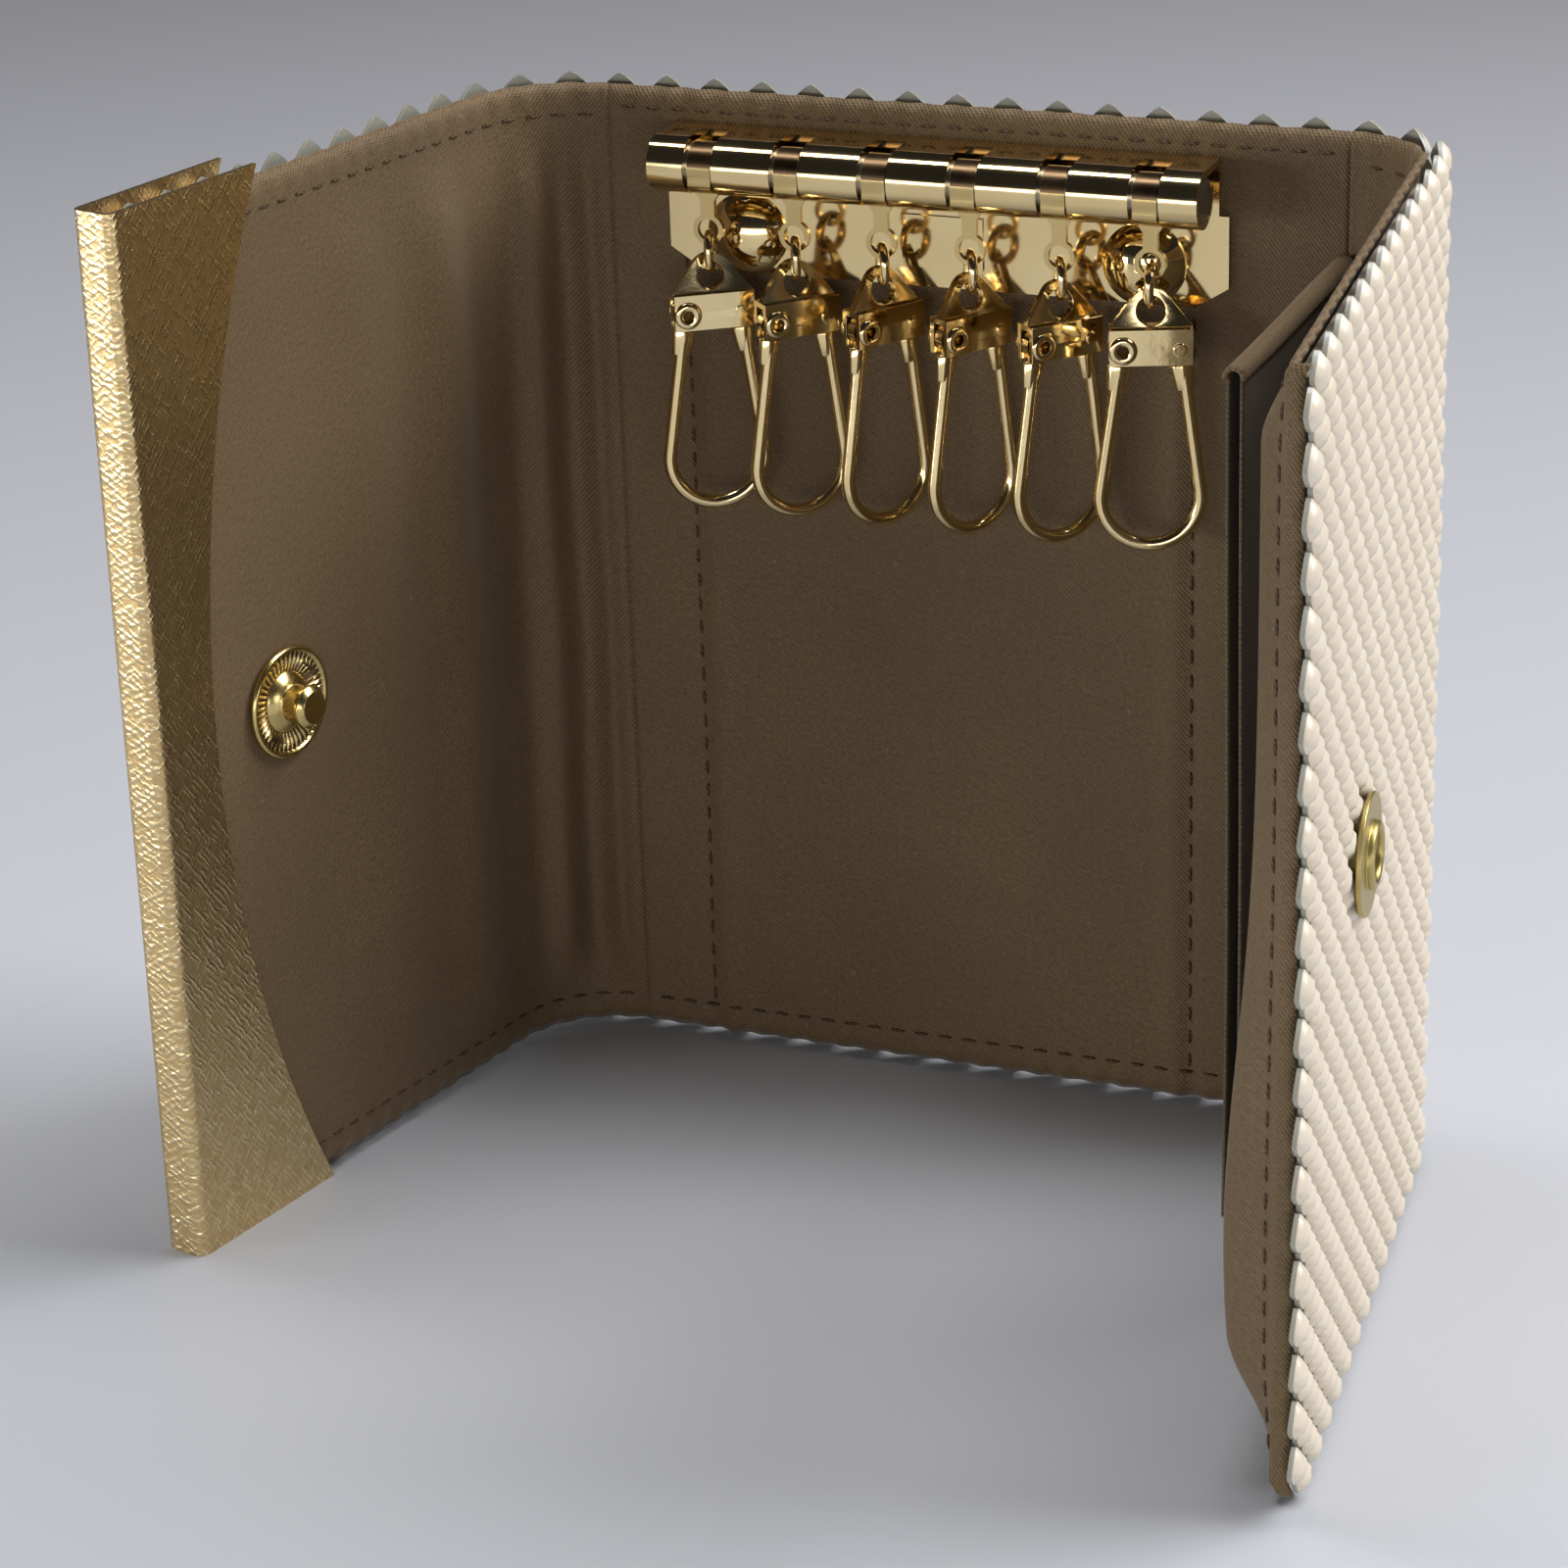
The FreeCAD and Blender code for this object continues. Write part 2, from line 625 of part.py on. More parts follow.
def hook_rail():
    """One sheet: a plate against the lining, carried forward at the top and rolled into a slotted bar."""
    sheet_metal = size("rail_sheet")
    plate_low = rod_z - size("plate_drop")
    end_angle = math.asin(size("curl_gap") / curl_outer)
    tail = (math.cos(end_angle), math.sin(end_angle))
    body = doc.addObject("PartDesign::Body", "rail_roll")
    sketch = sketch_on(body, "YZ_Plane", "rail_roll_section")
    draw(sketch, [
        (-sheet_metal, rod_z + curl_inner), (-sheet_metal, plate_low), (0, plate_low),
        (0, rod_z + curl_outer),
        (rod_y, rod_z + curl_outer), (rod_y, rod_z - curl_outer, (rod_y - curl_outer, rod_z)),
        (rod_y + tail[0] * curl_outer, rod_z + tail[1] * curl_outer,
         (rod_y + math.sin(math.pi / 4) * curl_outer, rod_z - math.cos(math.pi / 4) * curl_outer)),
        (rod_y + tail[0] * curl_inner, rod_z + tail[1] * curl_inner),
        (rod_y, rod_z - curl_inner,
         (rod_y + math.sin(math.pi / 4) * curl_inner, rod_z - math.cos(math.pi / 4) * curl_inner)),
        (rod_y, rod_z + curl_inner, (rod_y - curl_inner, rod_z))])
    pad = body.newObject("PartDesign::Pad", "rail_roll_pad")
    pad.Profile = sketch
    bind(pad, Length="<plate_width>")
    pad.Midplane = True
    tools = []
    for i, x in enumerate(hook_places):
        back = rod_y + curl_outer + size("slot_margin")
        tools.append(block(
            f"rail_slot_{i + 1}", "<slot_width>", "<rod_standoff> + 2 * <overrun>",
            "2 * (<rod_radius> + <rail_sheet> + <overrun>)",
            at(x - size("slot_width") / 2, back - size("rod_standoff") - 2 * OVERRUN,
               rod_z - size("rod_radius") - size("rail_sheet") - OVERRUN)))
    low = plate_low - OVERRUN
    high = rod_z + curl_outer + OVERRUN
    bar = size("rail_length") / 2
    half = size("plate_width") / 2
    side = half + OVERRUN
    foot = half - size("plate_chamfer_width")
    knee = plate_low + size("plate_chamfer_height")
    shoulder = rod_z - curl_outer
    for sign, name in ((-1, "left"), (1, "right")):
        corner = plate_body(f"rail_corner_{name}", [
            (sign * side, low), (sign * foot, low), (sign * foot, plate_low), (sign * half, knee),
            (sign * half, shoulder), (sign * bar, shoulder), (sign * bar, high), (sign * side, high)],
            "<rod_standoff> + <rod_radius> + <rail_sheet> + 3 * <overrun>", (), True)
        corner.Placement = at(y=OVERRUN)
        tools.append(corner)
    for i, x in enumerate(rivet_places):
        tools.append(cylinder(f"rail_rivet_hole_{i + 1}", "<post_radius> + <post_slip>",
                              "<rail_sheet> + 2 * <overrun>", at(x, OVERRUN, rivet_z, TO_FRONT)))
    bare = cut("rail_bare", body, fuse("rail_tools", tools))
    pad_low = plate_low + (size("plate_drop") - curl_outer - size("plate_pad_height")) / 2
    raised = block("rail_raised_pad", "<plate_pad_width>", "<plate_pad_rise> + <rail_sheet>",
                   "<plate_pad_height>",
                   at(-size("plate_pad_width") / 2, -sheet_metal - size("plate_pad_rise"), pad_low))
    keep(fuse("rail_whole", [bare, raised]), "hook_rail", at())
    rod = cylinder("pivot_rod_bar", "<rod_radius>", "<rail_length>", at())
    keep(rod, "pivot_rod", at(-size("rail_length") / 2, rod_y, rod_z, TO_RIGHT))


def rail_rivets():
    """Two dome caps on the plate and the flanged posts that hold them from behind the board."""
    radius = size("rivet_radius")
    edge = size("rivet_edge")
    dome = size("rivet_dome")
    bore = size("post_radius") + size("post_slip")
    depth = size("rivet_bore_depth")
    rise = dome - edge
    arc = (radius ** 2 + rise ** 2) / (2 * rise)
    half_angle = math.asin(radius / arc) / 2
    middle = (arc * math.sin(half_angle), edge + rise - arc + arc * math.cos(half_angle))
    cap = turned_body("rivet_cap_body", [
        (bore, 0), (radius, 0), (radius, edge), (0, dome, middle), (0, depth), (bore, depth)])
    post = flanged_post("rivet_post_body", board_back + size("rail_sheet") + depth)
    doc.recompute()
    caps = []
    posts = []
    for i, x in enumerate(rivet_places):
        caps.append(copy_of(f"rivet_cap_{i + 1}", cap))
        caps[-1].Placement = at(x, -size("rail_sheet"), rivet_z, TO_FRONT)
        posts.append(copy_of(f"rivet_post_{i + 1}", post))
        posts[-1].Placement = at(x, board_back + size("post_flange"), rivet_z, TO_FRONT)
    keep(group("rivet_caps_group", caps), "rivet_caps", at())
    keep(group("rivet_posts_group", posts), "rivet_posts", at())


# Heights along a hook, from the rod down
eye_z = rod_z - size("strap_eye_drop")
link_top = eye_z - size("strap_hole_radius") + size("link_wire_radius") + size("link_slip")
link_low = link_top - size("link_length")
hole_z = link_low + size("link_wire_radius") + size("link_slip") - size("head_hole_radius")
band_top = hole_z - size("head_band_drop")
band_low = band_top - size("head_band_height")
pivot_z = band_low + size("gate_pivot_rise")
head_outer = size("head_gap") / 2 + size("head_sheet")


# Key hooks: each prototype stands on the hook's own vertical, with its face towards -Y
def strap():
    """A band round the rod that hangs down to a flat eye."""
    width = size("strap_width")
    sheet_metal = size("strap_sheet")
    outer = cylinder("strap_band", "<rod_radius> + <rod_clearance> + <strap_sheet>", "<strap_width>",
                     at(-width / 2, 0, rod_z, TO_RIGHT))
    neck = size("strap_neck_width") / 2
    eye = size("strap_eye_radius")
    waist = eye_z + math.sqrt(eye ** 2 - neck ** 2)
    shoulder = rod_z - size("rod_radius") - size("rod_clearance") - sheet_metal
    tongue = plate_body("strap_tongue", [
        (-width / 2, rod_z), (-width / 2, shoulder), (-neck, shoulder - neck), (-neck, waist),
        (neck, waist, (0, eye_z - eye)), (neck, shoulder - neck), (width / 2, shoulder),
        (width / 2, rod_z)], "<strap_sheet>", [((0, eye_z), size("strap_hole_radius"))])
    tongue.Placement = at(y=-sheet_metal / 2)
    bore = cylinder("strap_bore", "<rod_radius> + <rod_clearance>", "<strap_width> + 2 * <overrun>",
                    at(-width / 2 - OVERRUN, 0, rod_z, TO_RIGHT))
    return cut("strap_shape", fuse("strap_blank", [outer, tongue]), bore)


def swept_wire(name, edges, radius, start, direction):
    """A round wire along an open or closed run of lines and arcs."""
    path = doc.addObject("Part::Feature", f"{name}_path")
    path.Shape = Part.Wire(edges)
    ring = doc.addObject("Part::Circle", f"{name}_section")
    bind(ring, Radius=radius)
    ring.Placement = Placement(start, Rotation(UP, direction))
    sweep = doc.addObject("Part::Sweep", f"{name}_sweep")
    sweep.Sections = [ring]
    sweep.Spine = path
    sweep.Solid = True
    return sweep


def link():
    """A long wire link through the strap's eye and the head's hole, across the hook's face."""
    bend = size("link_bend_radius")
    high = link_top - bend
    low = link_low + bend
    corners = [Vector(0, -bend, high), Vector(0, bend, high), Vector(0, bend, low), Vector(0, -bend, low)]
    edges = [
        Part.Arc(corners[0], Vector(0, 0, link_top), corners[1]).toShape(),
        Part.LineSegment(corners[1], corners[2]).toShape(),
        Part.Arc(corners[2], Vector(0, 0, link_low), corners[3]).toShape(),
        Part.LineSegment(corners[3], corners[0]).toShape()]
    return swept_wire("link", edges, "<link_wire_radius>", corners[0], UP)


def head():
    """A stamped head: a pierced ear above, and a band folded into two leaves that hold the wire's ends."""
    half = size("head_half_width")
    ear = size("head_ear_radius")
    hole = [((0, hole_z), size("head_hole_radius"))]
    run = math.hypot(half, hole_z - band_top)
    lift = math.asin(ear / run) + math.atan2(hole_z - band_top, half)
    touch = (half - math.sqrt(run ** 2 - ear ** 2) * math.cos(lift),
             band_top + math.sqrt(run ** 2 - ear ** 2) * math.sin(lift))
    plate = plate_body("head_ear", [
        (-half, band_top - size("head_bridge")), (half, band_top - size("head_bridge")), (half, band_top),
        touch,
        (-touch[0], touch[1], (0, hole_z + ear)), (-half, band_top)], "<head_ear_sheet>", hole)
    plate.Placement = at(y=-size("head_ear_sheet") / 2)
    leaves = []
    pierced = [((-size("gate_leg_offset"), pivot_z), size("eyelet_radius") + size("post_slip"))]
    for name, y in (("front", -head_outer), ("rear", size("head_gap") / 2)):
        leaf = plate_body(f"head_leaf_{name}", rectangle(-half, half, band_low, band_top), "<head_sheet>",
                          pierced)
        leaf.Placement = at(y=y)
        leaves.append(leaf)
    bridge = block("head_bridge_strip", "2 * <head_half_width>", "<head_gap> + 2 * <head_sheet>",
                   "<head_bridge>", at(-half, -head_outer, band_top - size("head_bridge")))
    dimple = cylinder("head_dimple", "<head_dimple_radius>", "<head_dimple_rise> + <head_sheet> / 2",
                      at(size("gate_leg_offset"), -head_outer + size("head_sheet") / 2, pivot_z, TO_FRONT))
    return fuse("head_shape", [plate, *leaves, bridge, dimple])


def gate():
    """A teardrop wire loop with a flat eye on its pivot and a free end under the dimple."""
    offset = size("gate_leg_offset")
    bend = size("gate_bend_radius")
    centre_z = pivot_z - size("gate_drop") + bend + size("gate_wire_radius")
    latch_z = pivot_z + size("gate_latch_rise")

    def touch(z):
        """Where a straight leg from a height on the offset meets the round end, on the right."""
        rise = z - centre_z
        angle = math.atan2(rise, offset) - math.acos(bend / math.hypot(offset, rise))
        return Vector(bend * math.cos(angle), 0, centre_z + bend * math.sin(angle))

    pivot = Vector(-offset, 0, pivot_z)
    latch = Vector(offset, 0, latch_z)
    low_right = touch(latch_z)
    low_left = touch(pivot_z)
    low_left.x = -low_left.x
    edges = [
        Part.LineSegment(pivot, low_left).toShape(),
        Part.Arc(low_left, Vector(0, 0, centre_z - bend), low_right).toShape(),
        Part.LineSegment(low_right, latch).toShape()]
    wire = swept_wire("gate", edges, "<gate_wire_radius>", pivot, low_left - pivot)
    eye_place = at(-offset, size("gate_eye_height") / 2, pivot_z, TO_FRONT)
    eye = cylinder("gate_eye", "<gate_eye_radius>", "<gate_eye_height>", eye_place)
    bore = cylinder("gate_bore", "<eyelet_radius> + <eyelet_clearance>", "<gate_eye_height> + 2 * <overrun>",
                    at(-offset, size("gate_eye_height") / 2 + OVERRUN, pivot_z, TO_FRONT))
    return cut("gate_shape", fuse("gate_blank", [wire, eye]), bore)


def eyelet():
    """A hollow rivet through the head's leaves, which the loop turns on."""
    flange = size("eyelet_flange")
    wide = size("eyelet_flange_radius")
    tube = size("eyelet_radius")
    bore = size("eyelet_bore_radius")
    length = 2 * head_outer
    body = turned_body("eyelet_shape", [
        (bore, -flange), (wide, -flange), (wide, 0), (tube, 0), (tube, length), (wide, length),
        (wide, length + flange), (bore, length + flange)])
    body.Placement = at(-size("gate_leg_offset"), head_outer, pivot_z, TO_FRONT)
    return body


def hooks():
    """Six hooks along the rod; the link turns half as far as the head below it."""
    prototypes = {"strap": strap(), "link": link(), "head": head(), "gate": gate(), "eyelet": eyelet()}
    doc.recompute()
    for i, (x, turn) in enumerate(zip(hook_places, HOOK_TURNS), start=1):
        for name, source in prototypes.items():
            hanging = Rotation(UP, turn * TURN_SHARES.get(name, 1))
            piece = copy_of(f"hook_{i}_{name}", source)
            keep(piece, f"hook_{i}_{name}", at(x, rod_y, 0, hanging) * source.Placement)


back_panel()
folds()
left_flap()
edge_trim()
snap_stud()
right_flap()
snap_socket()
pocket_leaf()
hook_rail()
rail_rivets()
hooks()
doc.recompute()

# Sound shapes, and the origin at the middle of the footprint
for obj in doc.Objects:
    if "Invalid" in obj.State or "Error" in obj.State:
        raise RuntimeError(f"{obj.Name} did not build: {obj.State}")
whole = FreeCAD.BoundBox()
for obj in sub_parts:
    if obj.Shape.isNull() or not obj.Shape.isValid():
        raise RuntimeError(f"{obj.Label} has no sound shape")
    whole.add(obj.Shape.optimalBoundingBox(False))
shift = at(-whole.Center.x, -whole.Center.y, -whole.ZMin)

os.makedirs("parts", exist_ok=True)
for obj in sub_parts:
    shape = obj.Shape.copy()
    shape.Placement = shift * shape.Placement
    shape.exportStep(os.path.join("parts", f"{obj.Label}.step"))


def told(label, point):
    """Prints a place in the finished frame."""
    moved = shift.multVec(point)
    print(label, round(moved.x, 4), round(moved.y, 4), round(moved.z, 4))


# Places of the joints, for the record
told("origin_of_back", Vector())
told("left_axis", left_axis)
told("right_axis", right_axis)
told("leaf_axis", leaf_axis)
told("rod_axis", Vector(0, rod_y, rod_z))
for i, (x, turn) in enumerate(zip(hook_places, HOOK_TURNS), start=1):
    frame = at(x, rod_y, 0, Rotation(UP, turn))
    told(f"hook_{i}_eye", Vector(x, rod_y, eye_z))
    told(f"hook_{i}_hole", Vector(x, rod_y, hole_z))
    told(f"hook_{i}_pivot", frame.multVec(Vector(-size("gate_leg_offset"), 0, pivot_z)))
    told(f"hook_{i}_loop", frame.multVec(Vector(0, 0, pivot_z - size("gate_drop"))))
print("pieces", len(sub_parts), "size", [round(v, 3) for v in (whole.XLength, whole.YLength, whole.ZLength)])
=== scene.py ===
"""Looks of a trifold key case.

Tiled metal mesh outside, twill lining inside, a gold edge trim, a snap and key hooks.
"""

import json
import math

import bmesh
import bpy
from mathutils import Matrix, Vector, noise


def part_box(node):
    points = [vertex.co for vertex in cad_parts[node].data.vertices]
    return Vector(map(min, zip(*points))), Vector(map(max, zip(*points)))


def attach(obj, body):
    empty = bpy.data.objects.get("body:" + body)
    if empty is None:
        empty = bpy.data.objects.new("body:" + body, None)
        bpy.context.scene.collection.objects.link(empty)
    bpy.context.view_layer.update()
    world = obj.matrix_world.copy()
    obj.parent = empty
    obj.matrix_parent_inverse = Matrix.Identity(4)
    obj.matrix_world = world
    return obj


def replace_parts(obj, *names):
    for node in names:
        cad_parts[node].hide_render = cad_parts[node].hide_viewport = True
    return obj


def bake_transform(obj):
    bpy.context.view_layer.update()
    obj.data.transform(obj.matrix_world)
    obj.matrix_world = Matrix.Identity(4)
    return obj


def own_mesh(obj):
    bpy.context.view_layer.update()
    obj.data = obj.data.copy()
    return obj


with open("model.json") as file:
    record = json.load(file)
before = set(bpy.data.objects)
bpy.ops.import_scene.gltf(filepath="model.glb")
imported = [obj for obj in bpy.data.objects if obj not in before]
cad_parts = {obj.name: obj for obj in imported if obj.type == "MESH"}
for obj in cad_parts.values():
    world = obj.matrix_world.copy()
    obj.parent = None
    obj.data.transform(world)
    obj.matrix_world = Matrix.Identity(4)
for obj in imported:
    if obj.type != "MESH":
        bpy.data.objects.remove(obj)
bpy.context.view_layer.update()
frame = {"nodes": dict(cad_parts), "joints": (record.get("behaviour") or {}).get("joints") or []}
nodes = frame["nodes"]
joints = {joint["name"]: joint for joint in frame["joints"]}

# Sizes in metres: panels, lining, the mesh's place behind the lining's face and its thickness, hems, and the
# length of cloth that one unit of its map covers
MM = 0.001
HEIGHT = 100 * MM
LINING = 0.6 * MM
MESH_DEPTH = 2.0 * MM
MESH = 1.4 * MM
HEM = 3.0 * MM
UV_SPAN = 100 * MM
UP = Vector((0, 0, 1))
WELD = 0.001 * MM

# Back panel, read from the frame
back_low, back_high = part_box("back_lining")
BACK_Y = back_low.y
BACK_LEFT = back_low.x
BACK_RIGHT = back_high.x
back_width = BACK_RIGHT - BACK_LEFT

# Flaps: their runs from the folds' ends, the snap's place and how many degrees each leans from square
LEFT_PANEL_END = 50.95 * MM
RIGHT_REACH = 63 * MM
STUD_REACH = 33.6 * MM
SNAP_HEIGHT = 50 * MM
LEFT_LEAN = 12
RIGHT_LEAN = 5


def side_of(joint, sign, lean):
    """One fold: its axis, which way it goes, the lining's radius and the angle that it turns through."""
    axis = Vector(joints[joint]["pos_m"])
    return {"axis": axis, "sign": sign, "radius": BACK_Y - axis.y, "sweep": math.radians(90 - lean)}


LEFT = side_of("left_fold", -1, LEFT_LEAN)
RIGHT = side_of("right_fold", 1, RIGHT_LEAN)


def fold_run(side, base=0.0):
    """The length of a fold, at a depth outwards from the lining's inner face."""
    return side["sweep"] * (side["radius"] + base)


def facing(side, bend):
    """The outward and the onward direction at an angle round a fold."""
    sign = side["sign"]
    outward = Vector((sign * math.sin(bend), math.cos(bend), 0))
    onward = Vector((sign * math.cos(bend), -math.sin(bend), 0))
    return outward, onward


def along(side, run, depth, z, base=0.0):
    """The point at a run from the back panel's end, round the fold and along the flap.

    Runs are measured at base, a depth outwards from the lining's inner face.
    """
    reach = side["radius"] + base
    bend = min(max(run / reach, 0), side["sweep"])
    outward, onward = facing(side, bend)
    point = side["axis"] + outward * (side["radius"] + depth) + onward * (run - bend * reach)
    point.z = z
    return point


# Small helpers
def finished(name, bm, materials, smooth_angle=None):
    """An object at the origin from a bmesh."""
    mesh = bpy.data.meshes.new(name)
    bm.to_mesh(mesh)
    bm.free()
    for material in materials:
        mesh.materials.append(material)
    for face in mesh.polygons:
        face.use_smooth = True
    if smooth_angle:
        mesh.set_sharp_from_angle(angle=math.radians(smooth_angle))
    piece = bpy.data.objects.new(name, mesh)
    bpy.context.scene.collection.objects.link(piece)
    return piece


def face_out(bm):
    """Turns the faces of a closed shape outwards."""
    bmesh.ops.recalc_face_normals(bm, faces=bm.faces[:])
    if bm.calc_volume(signed=True) < 0:
        bmesh.ops.reverse_faces(bm, faces=bm.faces[:])


def bump(value, centre, width):
    """A soft ridge of height one."""
    return math.exp(-((value - centre) / width) ** 2)


def ramp(value, low, high):
    """A smooth step from zero to one."""
    share = min(max((value - low) / (high - low), 0), 1)
    return share * share * (3 - 2 * share)


# Shader helpers
def add(tree, kind, inputs=None, **settings):
    """A node with its settings, and its inputs set to values or joined to sockets."""
    node = tree.nodes.new(kind)
    for name, value in settings.items():
        setattr(node, name, value)
    for name, value in (inputs or {}).items():
        if isinstance(value, bpy.types.NodeSocket):
            tree.links.new(value, node.inputs[name])
        else:
            node.inputs[name].default_value = value
    return node


def math_node(tree, operation, first, second=None):
    """One sum, and its result."""
    inputs = {0: first}
    if second is not None:
        inputs[1] = second
    return add(tree, "ShaderNodeMath", inputs, operation=operation).outputs[0]


# Places of the colour sockets on a Mix node
MIX_FIRST, MIX_SECOND, MIX_RESULT = 6, 7, 2


def blend_colours(tree, factor, first, second):
    """A mix of two colours, and its result."""
    node = add(tree, "ShaderNodeMix", {"Factor": factor}, data_type="RGBA")
    for index, value in ((MIX_FIRST, first), (MIX_SECOND, second)):
        if isinstance(value, bpy.types.NodeSocket):
            tree.links.new(value, node.inputs[index])
        else:
            node.inputs[index].default_value = (*value, 1)
    return node.outputs[MIX_RESULT]


def new_group(name, inputs, outputs):
    """A shader node group with named sockets."""
    tree = bpy.data.node_groups.new(name, "ShaderNodeTree")
    for label, kind, value in inputs:
        socket = tree.interface.new_socket(label, in_out="INPUT", socket_type=kind)
        if value is not None:
            socket.default_value = value
    for label, kind in outputs:
        tree.interface.new_socket(label, in_out="OUTPUT", socket_type=kind)
    return tree, tree.nodes.new("NodeGroupInput"), tree.nodes.new("NodeGroupOutput")


def twill_group():
    """Diagonal ribs of a fine twill over its upright yarns."""
    rib_slope, yarns_per_rib, yarn_height, weave_shade = 0.8, 1.7, 0.5, 0.25
    tree, start, end = new_group(
        "twill", [("Vector", "NodeSocketVector", None), ("Rib", "NodeSocketFloat", 1500.0)],
        [("Height", "NodeSocketFloat"), ("Shade", "NodeSocketFloat")])
    across, upward = add(tree, "ShaderNodeSeparateXYZ", {0: start.outputs["Vector"]}).outputs[:2]
    slope = math_node(tree, "ADD", across, math_node(tree, "MULTIPLY", upward, rib_slope))
    rib = math_node(tree, "SINE", math_node(tree, "MULTIPLY", slope, start.outputs["Rib"]))
    yarn_rate = math_node(tree, "MULTIPLY", start.outputs["Rib"], yarns_per_rib)
    yarn = math_node(tree, "SINE", math_node(tree, "MULTIPLY", upward, yarn_rate))
    height = math_node(tree, "ADD", rib, math_node(tree, "MULTIPLY", yarn, yarn_height))
    grain = add(tree, "ShaderNodeTexNoise", {"Vector": start.outputs["Vector"], "Scale": 260.0, "Detail": 2.0})
    woven = math_node(tree, "MULTIPLY", height, weave_shade)
    tree.links.new(height, end.inputs["Height"])
    tree.links.new(math_node(tree, "ADD", woven, grain.outputs["Fac"]), end.inputs["Shade"])
    return tree


def clouds_group():
    """Slow and fine patches, for tone, handling and dust."""
    tree, start, end = new_group(
        "clouds", [("Vector", "NodeSocketVector", None), ("Scale", "NodeSocketFloat", 40.0)],
        [("Patches", "NodeSocketFloat"), ("Specks", "NodeSocketFloat")])
    slow = add(tree, "ShaderNodeTexNoise",
               {"Vector": start.outputs["Vector"], "Scale": start.outputs["Scale"], "Detail": 4.0})
    fine_scale = math_node(tree, "MULTIPLY", start.outputs["Scale"], 24.0)
    fine = add(tree, "ShaderNodeTexNoise",
               {"Vector": start.outputs["Vector"], "Scale": fine_scale, "Detail": 1.0})
    specks = add(tree, "ShaderNodeMapRange", {"Value": fine.outputs["Fac"], "From Min": 0.75, "From Max": 0.8,
                                              "To Min": 0.0, "To Max": 1.0})
    tree.links.new(slow.outputs["Fac"], end.inputs["Patches"])
    tree.links.new(specks.outputs[0], end.inputs["Specks"])
    return tree


def hatching_group():
    """Two crossing runs of fine engraved lines, broken into strokes."""
    slants, waver_reach, stroke_scale, stroke_height = (34, -40), 0.0006, (2600, 900, 480), 0.3
    tree, start, end = new_group(
        "hatching", [("Vector", "NodeSocketVector", None), ("Pitch", "NodeSocketFloat", 0.00047)],
        [("Height", "NodeSocketFloat")])
    runs = []
    for slant in slants:
        turned_place = add(tree, "ShaderNodeMapping", {
            "Vector": start.outputs["Vector"], "Rotation": (0, math.radians(slant), 0)}).outputs[0]
        waver = add(tree, "ShaderNodeTexNoise", {"Vector": turned_place, "Scale": 700.0, "Detail": 1.0})
        across = add(tree, "ShaderNodeSeparateXYZ", {0: turned_place}).outputs[0]
        shifted = math_node(tree, "ADD", across, math_node(tree, "MULTIPLY", waver.outputs["Fac"], waver_reach))
        line_count = math_node(tree, "DIVIDE", shifted, start.outputs["Pitch"])
        lines = math_node(tree, "SINE", math_node(tree, "MULTIPLY", line_count, 2 * math.pi))
        drawn = add(tree, "ShaderNodeMapping", {"Vector": turned_place, "Scale": stroke_scale})
        breaks = add(tree, "ShaderNodeTexNoise", {"Vector": drawn.outputs[0], "Scale": 1.0, "Detail": 1.0})
        share = add(tree, "ShaderNodeMapRange",
                    {"Value": breaks.outputs["Fac"], "From Min": 0.4, "From Max": 0.6})
        runs.append(math_node(tree, "MULTIPLY", math_node(tree, "ADD", lines, 1.0), share.outputs[0]))
    total = math_node(tree, "MULTIPLY", math_node(tree, "ADD", runs[0], runs[1]), stroke_height)
    tree.links.new(total, end.inputs["Height"])
    return tree


TWILL = twill_group()
CLOUDS = clouds_group()
HATCHING = hatching_group()


def new_material(name, **settings):
    """A material with one Principled shader, whose plain values are set here."""
    material = bpy.data.materials.new(name)
    material.use_nodes = True
    tree = material.node_tree
    shader = tree.nodes["Principled BSDF"]
    for label, value in settings.items():
        shader.inputs[label.replace("_", " ")].default_value = value
    return material, tree, shader


def placed_group(tree, group, vector, **values):
    """One of the shared groups in a material."""
    node = add(tree, "ShaderNodeGroup", node_tree=group)
    tree.links.new(vector, node.inputs["Vector"])
    for label, value in values.items():
        node.inputs[label].default_value = value
    return node


def object_place(tree):
    """The place on the piece."""
    return add(tree, "ShaderNodeTexCoord").outputs["Object"]


def give_bump(tree, shader, height, strength, distance):
    """Relief from a height."""
    node = add(tree, "ShaderNodeBump", {"Height": height, "Strength": strength, "Distance": distance})
    tree.links.new(node.outputs[0], shader.inputs["Normal"])


DUST = (0.5, 0.45, 0.36)
SOIL = (0.42, 0.34, 0.24)


def lining_material(name, shadow, light):
    """Brown twill with a slight sheen, on the cloth's own map."""
    material, tree, shader = new_material(name, Sheen_Weight=0.12, Sheen_Roughness=0.4, Specular_IOR_Level=0.3)
    cloth = add(tree, "ShaderNodeTexCoord").outputs["UV"]
    weave = placed_group(tree, TWILL, cloth)
    patches = placed_group(tree, CLOUDS, cloth, Scale=3.0)
    lift = math_node(tree, "ADD", patches.outputs["Patches"], 0.45)
    tone = math_node(tree, "MULTIPLY", weave.outputs["Shade"], lift)
    colour = blend_colours(tree, tone, shadow, light)
    dusty = math_node(tree, "MULTIPLY", patches.outputs["Specks"], 0.12)
    tree.links.new(blend_colours(tree, dusty, colour, DUST), shader.inputs["Base Color"])
    rough = add(tree, "ShaderNodeMapRange", {"Value": weave.outputs["Shade"], "To Min": 0.45, "To Max": 0.7})
    tree.links.new(rough.outputs[0], shader.inputs["Roughness"])
    give_bump(tree, shader, weave.outputs["Height"], strength=0.35, distance=0.00008)
    return material


